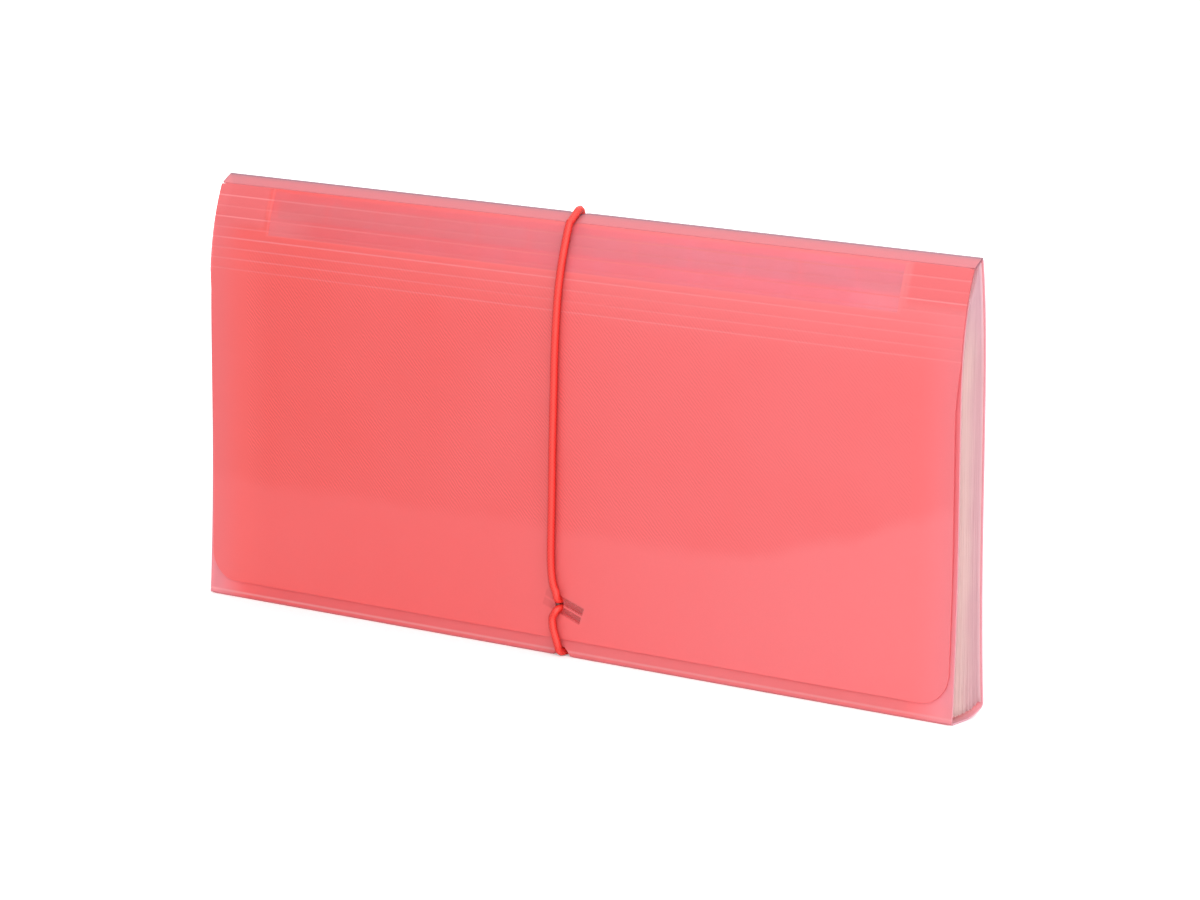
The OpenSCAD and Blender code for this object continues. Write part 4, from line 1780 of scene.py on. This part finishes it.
@dataclass
class Pockets:
    """The twelve dividers, each with its tab and label."""

    form: WalletForm
    finishes: Finishes
    count: int = 12
    divider_t: float = 0.25
    divider_half: float = 118.35
    divider_z: tuple[float, float] = (3.4, 110.4)
    first_foot_y: float = -5.0337
    last_foot_y: float = 7.3434
    corner_r: float = 3.5
    tab_pitch: float = 18.6
    tab_w: float = 18.0
    tab_t: float = 0.5
    tab_wall: float = 0.14
    tab_top_z: float = 122.1
    tab_top_y: tuple[float, float] = (1.2, 3.1)
    tab_lift: float = 0.02
    label_t: float = 0.16
    label_corner: float = 0.25
    label_bow: float = 0.012
    border: float = 0.9
    divider_edge_reach: float = 0.05
    label_edge_reach: float = 0.02

    def foot_y(self, i: int) -> float:
        """Where a divider stands at its foot."""
        return self.first_foot_y + (self.last_foot_y - self.first_foot_y) * (i - 1) / self.count

    def top_y(self, i: int) -> float:
        """Where a divider stands at its top edge.

        Args:
            i: The divider's number from the front.

        Returns:
            Its Y there.
        """
        first = float(self.form.front_y(self.divider_z[1])) + self.form.sheet
        last = float(self.form.back_y(self.divider_z[1])) - self.form.sheet
        return first + (last - first) * i / (self.count + 1)

    def build(self) -> None:
        """Makes all dividers, tabs and labels."""
        for i in range(1, self.count + 1):
            self.divider(i)
            self.tab_and_label(i)

    def divider(self, i: int) -> None:
        """Makes a divider with rounded upper corners.

        Args:
            i: Its number from the front.
        """
        low, high = self.divider_z
        r = self.corner_r
        corner = high - r + r * np.sin(np.radians([20, 40, 60, 75, 90]))
        z = np.array([low, 12, 30, 50, 70, 90, high - r, *corner])
        rise = np.clip(z - (high - r), 0, r)
        half = self.divider_half - r + np.sqrt(r * r - rise**2)
        x = np.linspace(-1, 1, 25)[None, :] * half[:, None]
        share = ((z - low) / (high - low))[:, None]
        y = self.foot_y(i) + (self.top_y(i) - self.foot_y(i)) * share
        outer = np.stack(np.broadcast_arrays(x, y - self.divider_t / 2, z[:, None]), -1)
        inner = outer + np.array([0, self.divider_t, 0])
        parts = closed_sheet(outer, inner, (self.divider_edge_reach,) * 4)
        name = f"divider_sheet_{i:02d}"
        piece = make_piece(name, parts, (self.finishes.divider, self.finishes.divider_edge), self.form)
        settle(piece, f"divider_{i:02d}", "divider_sheet", f"divider_{i:02d}")

    def tab_and_label(self, i: int) -> None:
        """Makes a tab and the card in it.

        Args:
            i: The divider's number.
        """
        lean_to = self.tab_top_y[0] + (self.tab_top_y[1] - self.tab_top_y[0]) * (i - 1) / (self.count - 1)
        foot = np.array([self.top_y(i), self.divider_z[1]])
        rise = np.array([lean_to, self.tab_top_z]) - foot
        slope = math.atan2(rise[0], rise[1])
        tall = (self.tab_top_z - self.divider_z[1]) / math.cos(slope) - self.tab_t
        base = foot + np.array([0, self.tab_t / 2 * math.sin(abs(slope)) + self.tab_lift])
        middle = (i - (self.count + 1) / 2) * self.tab_pitch
        up = np.array([math.sin(slope), math.cos(slope)])
        across = np.array([math.cos(slope), -math.sin(slope)])

        def placed(local: Array) -> Array:
            """Points from the tab's own length, thickness and height."""
            yz = base + local[..., 1:2] * across + local[..., 2:3] * up
            return np.concatenate([middle + local[..., 0:1], yz], -1)

        piece = make_piece(f"index_tab_{i:02d}", self.sleeve(tall, placed), (self.finishes.tab,), self.form)
        settle(piece, f"divider_{i:02d}", "tab_film", f"tab_{i:02d}")
        wide, high = self.tab_w - self.border + 0.3, tall - 2 * self.border
        xs = np.linspace(-wide / 2, wide / 2, 9)
        corner = self.label_corner
        zs = np.array([0, corner, high / 2, high - corner, high])
        trim = np.array([corner, 0, 0, 0, corner])
        gx = xs[None, :] * (1 - 2 * trim[:, None] / wide)
        bow = self.label_bow * np.cos(xs / wide * math.pi)[None, :]
        grid = np.stack(np.broadcast_arrays(gx, bow - self.label_t / 2, self.border + zs[:, None]), -1)
        behind = grid + np.array([0, self.label_t, 0])
        card = closed_sheet(placed(grid), placed(behind), (self.label_edge_reach,) * 4)
        label = make_piece(f"index_card_{i:02d}", card, (self.finishes.label, self.finishes.label), self.form)
        settle(label, f"divider_{i:02d}", "label_card", f"label_{i:02d}")

    def sleeve(self, tall: float, placed: Callable[[Array], Array]) -> MeshParts:
        """A flat sleeve with rounded folds, open at both ends.

        Args:
            tall: Its height.
            placed: Turns its own points into the wallet's.

        Returns:
            The mesh.
        """
        t, slot = self.tab_t / 2, self.tab_t / 2 - self.tab_wall
        turn = np.radians(np.linspace(0, 180, 7))
        outside = [(t * math.cos(a), tall - t + t * math.sin(a)) for a in turn]
        outside += [(-t * math.cos(a), t - t * math.sin(a)) for a in turn]
        low, high = self.border - 0.1, tall - self.border + 0.1
        inside = [(slot * math.cos(a), high - slot + slot * math.sin(a)) for a in turn]
        inside += [(-slot * math.cos(a), low + slot - slot * math.sin(a)) for a in turn]
        n = len(outside)
        ends = np.linspace(-self.tab_w / 2, self.tab_w / 2, 7)
        points, rings = [], []
        for x in ends:
            for loop in (outside, inside):
                rings.append(list(range(len(points), len(points) + n)))
                points += [(x, y, z) for y, z in loop]
        faces: list[tuple[int, ...]] = []
        for j in range(len(ends) - 1):
            faces += ring_ribbon(rings[2 * j], rings[2 * j + 2])
            faces += ring_ribbon(rings[2 * j + 3], rings[2 * j + 1])
        faces += ring_ribbon(rings[1], rings[0]) + ring_ribbon(rings[-2], rings[-1])
        return MeshParts(placed(np.array(points)), faces, [0] * len(faces))


@dataclass
class Closure:
    """The elastic cord and the two barbs crimped on its ends."""

    form: WalletForm
    finishes: Finishes
    clasp: Clasp = Clasp()
    sides: int = 20
    end_reach: float = 0.95
    pinch_reach: float = 1.7
    pinch_depth: float = 0.2
    squareness: float = 0.55

    def build(self) -> None:
        """Makes the cord and the barbs, all riding on the flap."""
        cord = self.cord()
        settle(cord, "flap", "cord", "elastic_cord")
        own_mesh(cord)
        for name, side in (("barb_upper", 1), ("barb_lower", -1)):
            barb = make_piece(f"{name}_crimped", self.barb(side), (self.finishes.barb,), self.form)
            settle(barb, "flap", "barb_metal", name)

    def cord(self) -> bpy.types.Object:
        """The cord as a round tube along its route, with a UV map for the braid.

        Returns:
            The cord.
        """
        line = CordRoute(self.form, self.clasp).line()
        n, r = self.sides, self.form.cord_radius
        ahead = np.gradient(line, axis=0)
        ahead /= np.linalg.norm(ahead, axis=1, keepdims=True)
        side = np.array([1.0, 0, 0]) - ahead[:, :1] * ahead
        side /= np.linalg.norm(side, axis=1, keepdims=True)
        up = np.cross(ahead, side)
        angles = np.arange(n) * FULL_TURN / n
        cos, sin = np.cos(angles)[:, None], np.sin(angles)[:, None]
        rings = [p + r * (cos * s + sin * u) for p, s, u in zip(line, side, up)]
        cord = make_piece("elastic_cord_loop", lofted(rings), (self.finishes.cord,), self.form, 75)
        self.map_braid(cord.data, line)
        return cord

    def map_braid(self, mesh: bpy.types.Mesh, line: Array) -> None:
        """Keeps each point's distance along the cord, and its share of a turn, as a UV map.

        Args:
            mesh: The cord's mesh, with the middles of both ends as its last points.
            line: The points of its route.
        """
        n, last = self.sides, len(line) - 1
        run = np.concatenate([[0], np.cumsum(np.linalg.norm(np.diff(line, axis=0), axis=1))])
        places = [(run[i // n], (i % n) / n) for i in range(len(line) * n)]
        places += [(run[0], 0.5), (run[last], 0.5)]
        uv = np.zeros((len(mesh.loops), 2), np.float32)
        for face in mesh.polygons:
            at = [places[mesh.loops[k].vertex_index] for k in face.loop_indices]
            turns = [turn for _, turn in at]
            wraps = max(turns) - min(turns) > 0.5
            for k, (along, turn) in zip(face.loop_indices, at):
                uv[k] = (along, turn + 1 if wraps and turn < 0.5 else turn)
        mesh.uv_layers.new(name="braid").uv.foreach_set("vector", uv.ravel())

    def barb(self, side: int) -> MeshParts:
        """A flattened bar with rounded ends, pinched where it grips the cord.

        Args:
            side: 1 for the upper one and -1 for the lower one.

        Returns:
            The mesh.
        """
        clasp = self.clasp
        length, lead = clasp.barb_len, clasp.lead_share * clasp.barb_len
        tip = np.array([0, 0.08, 0.25, 0.55, self.end_reach])
        stations = np.concatenate([tip, np.linspace(1.5, length - 1.5, 21), length - tip[::-1]])
        slope = math.radians(clasp.slope_deg)
        along = np.array([math.cos(slope), 0, -math.sin(slope)])
        up = np.array([math.sin(slope), 0, math.cos(slope)])
        hole_x, hole_z = clasp.hole
        middle = np.array([hole_x, clasp.barb_y + clasp.barb_t / 2, hole_z + side * clasp.strand_z])
        angles = np.radians(np.arange(0, 360, 22.5) + 11.25)
        c, w = np.cos(angles), np.sin(angles)
        thick = (np.sign(c) * np.abs(c) ** self.squareness)[:, None] * np.array([0, 1, 0])
        high = (np.sign(w) * np.abs(w) ** self.squareness)[:, None] * up
        rings = []
        for s in stations:
            inward = 1 - max(0.0, 1 - min(s, length - s) / self.end_reach) ** 2
            round_end = math.sqrt(max(inward, 0.004))
            grips = (lead - self.pinch_reach, lead + self.pinch_reach)
            grip = sum(math.exp(-(((s - place) / 0.5) ** 2)) for place in grips)
            h = clasp.barb_w / 2 * round_end * (1 - 0.1 * grip)
            t = clasp.barb_t / 2 * min(1.0, round_end + 0.25) * (1 - self.pinch_depth * grip)
            rings.append(middle + along * (s - lead) + thick * t + high * h)
        return lofted(rings)


# ---------------------------------------------------------------- studio


def toward(azimuth: float, elevation: float) -> Vector:
    """The direction of a bearing round the wallet and a height above the horizon, in degrees."""
    a, e = math.radians(azimuth), math.radians(elevation)
    return Vector((math.sin(a) * math.cos(e), -math.cos(a) * math.cos(e), math.sin(e)))


@dataclass(frozen=True)
class SoftBox:
    """A square lamp, placed by its bearing round the wallet and its height above the horizon.

    Both angles are in degrees, and distance and size in metres. A share of 1 alone shows a colour
    as it is written.
    """

    name: str
    azimuth: float
    elevation: float
    distance: float
    size: float
    share: float

    def build(self, target: Vector) -> None:
        """Hangs the lamp.

        Args:
            target: The point that it is aimed at, in metres.
        """
        back = toward(self.azimuth, self.elevation)
        lamp = bpy.data.lights.new(self.name, "AREA")
        lamp.size = self.size
        lamp.energy = math.pi**2 * self.distance**2 * self.share
        made = bpy.data.objects.new(self.name, lamp)
        made.location = target + back * self.distance
        made.rotation_mode = "QUATERNION"
        made.rotation_quaternion = back.to_track_quat("Z", "Y")
        bpy.context.scene.collection.objects.link(made)


@dataclass(frozen=True)
class Studio:
    """White floor and surroundings, soft lamps and the camera."""

    azimuth: float = 36.91
    elevation: float = 11.17
    roll: float = 0.19
    distance: float = 1.3864
    lens: float = 145.947
    target: tuple[float, float, float] = (0.008, 0.000266, 0.0598)
    sensor_width: float = 36.0
    clip_start: float = 0.05
    world_light: float = 0.62
    floor_half: float = 5.0
    floor_z: float = -0.0001
    floor_colour: Colour = (0.86, 0.86, 0.86)
    floor_rough: float = 0.9
    floor_white_near: float = 0.3
    floor_white_far: float = 0.7
    floor_fade: tuple[float, float] = (300.0, 1100.0)
    lamps_aim: tuple[float, float, float] = (0.0, 0.0, 0.06)
    lamps: tuple[SoftBox, ...] = (
        SoftBox("top_box", 10, 78, 1.2, 1.3, 0.27),
        SoftBox("right_box", 76, 28, 1.3, 1.0, 0.34),
        SoftBox("front_box", 30, 26, 1.4, 1.4, 0.46),
        SoftBox("rear_box", 200, 30, 1.4, 1.2, 0.35),
    )

    def build(self) -> None:
        """Makes the camera, the floor, the surroundings and the lamps."""
        scene = bpy.context.scene
        scene.view_settings.view_transform = "Standard"
        self.camera()
        self.floor()
        self.surroundings()
        for lamp in self.lamps:
            lamp.build(Vector(self.lamps_aim))
        log.info("studio: camera at %s degrees", self.azimuth)

    def camera(self) -> None:
        """Stands the camera at the photograph's angle."""
        back = toward(self.azimuth, self.elevation)
        right = (-back).cross(Vector((0, 0, 1))).normalized()
        up = right.cross(-back)
        r = math.radians(self.roll)
        right, up = right * math.cos(r) + up * math.sin(r), up * math.cos(r) - right * math.sin(r)
        data = bpy.data.cameras.new("camera")
        data.lens = self.lens
        data.sensor_width = self.sensor_width
        data.clip_start = self.clip_start
        made = bpy.data.objects.new("camera", data)
        turn = Matrix((right, up, back)).transposed().to_4x4()
        made.matrix_world = Matrix.Translation(Vector(self.target) + back * self.distance) @ turn
        bpy.context.scene.collection.objects.link(made)
        bpy.context.scene.camera = made

    def floor(self) -> None:
        """Lays a white floor that keeps a soft shadow."""
        h, z = self.floor_half, self.floor_z
        mesh = bpy.data.meshes.new("floor")
        mesh.from_pydata([(-h, -h, z), (h, -h, z), (h, h, z), (-h, h, z)], [], [(0, 1, 2, 3)])
        graph = Graph.for_material("floor_paper")
        seen = Value(graph, graph.node("ShaderNodeLightPath").outputs["Is Camera Ray"])
        matt = graph.principled({"Base Color": self.floor_colour, "Roughness": self.floor_rough})
        x, y = graph.place()[:2]
        far = ((x * x + y * y) ** 0.5).rise(*self.floor_fade)
        near = self.floor_white_near
        strength = seen * (far * (self.floor_white_far - near) + near)
        glow = graph.node("ShaderNodeEmission", inputs={"Color": WHITE, "Strength": strength}).outputs[0]
        both = graph.node("ShaderNodeAddShader", inputs={0: matt, 1: glow}).outputs[0]
        mesh.materials.append(graph.finish(both))
        made = bpy.data.objects.new("floor", mesh)
        bpy.context.scene.collection.objects.link(made)

    def surroundings(self) -> None:
        """Makes the surroundings white to the camera, in gloss and through clear pieces.

        As light on the wallet they are dimmer.
        """
        world = bpy.data.worlds.new("surroundings")
        bpy.context.scene.world = world
        graph = Graph(world)
        path = graph.node("ShaderNodeLightPath").outputs
        seen = Value(graph, path["Is Camera Ray"])
        for ray in ("Is Glossy Ray", "Is Transmission Ray"):
            seen = seen.larger(Value(graph, path[ray]))
        strength = seen * (1 - self.world_light) + self.world_light
        shader = graph.node("ShaderNodeBackground", inputs={"Color": WHITE, "Strength": strength})
        graph.node("ShaderNodeOutputWorld", inputs={"Surface": shader.outputs[0]})


def main() -> None:
    """Builds the studio and every sub-assembly."""
    logging.basicConfig(level=logging.INFO, format="%(name)s: %(message)s")
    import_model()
    form = WalletForm()
    Studio().build()
    finishes = Finishes.made()
    CoverSheet(form, finishes).build()
    for side, name in ((1, "pleats_right"), (-1, "pleats_left")):
        Gusset(form, finishes, side, name).build()
    Pockets(form, finishes).build()
    Closure(form, finishes).build()


if __name__ == "__main__":
    main()
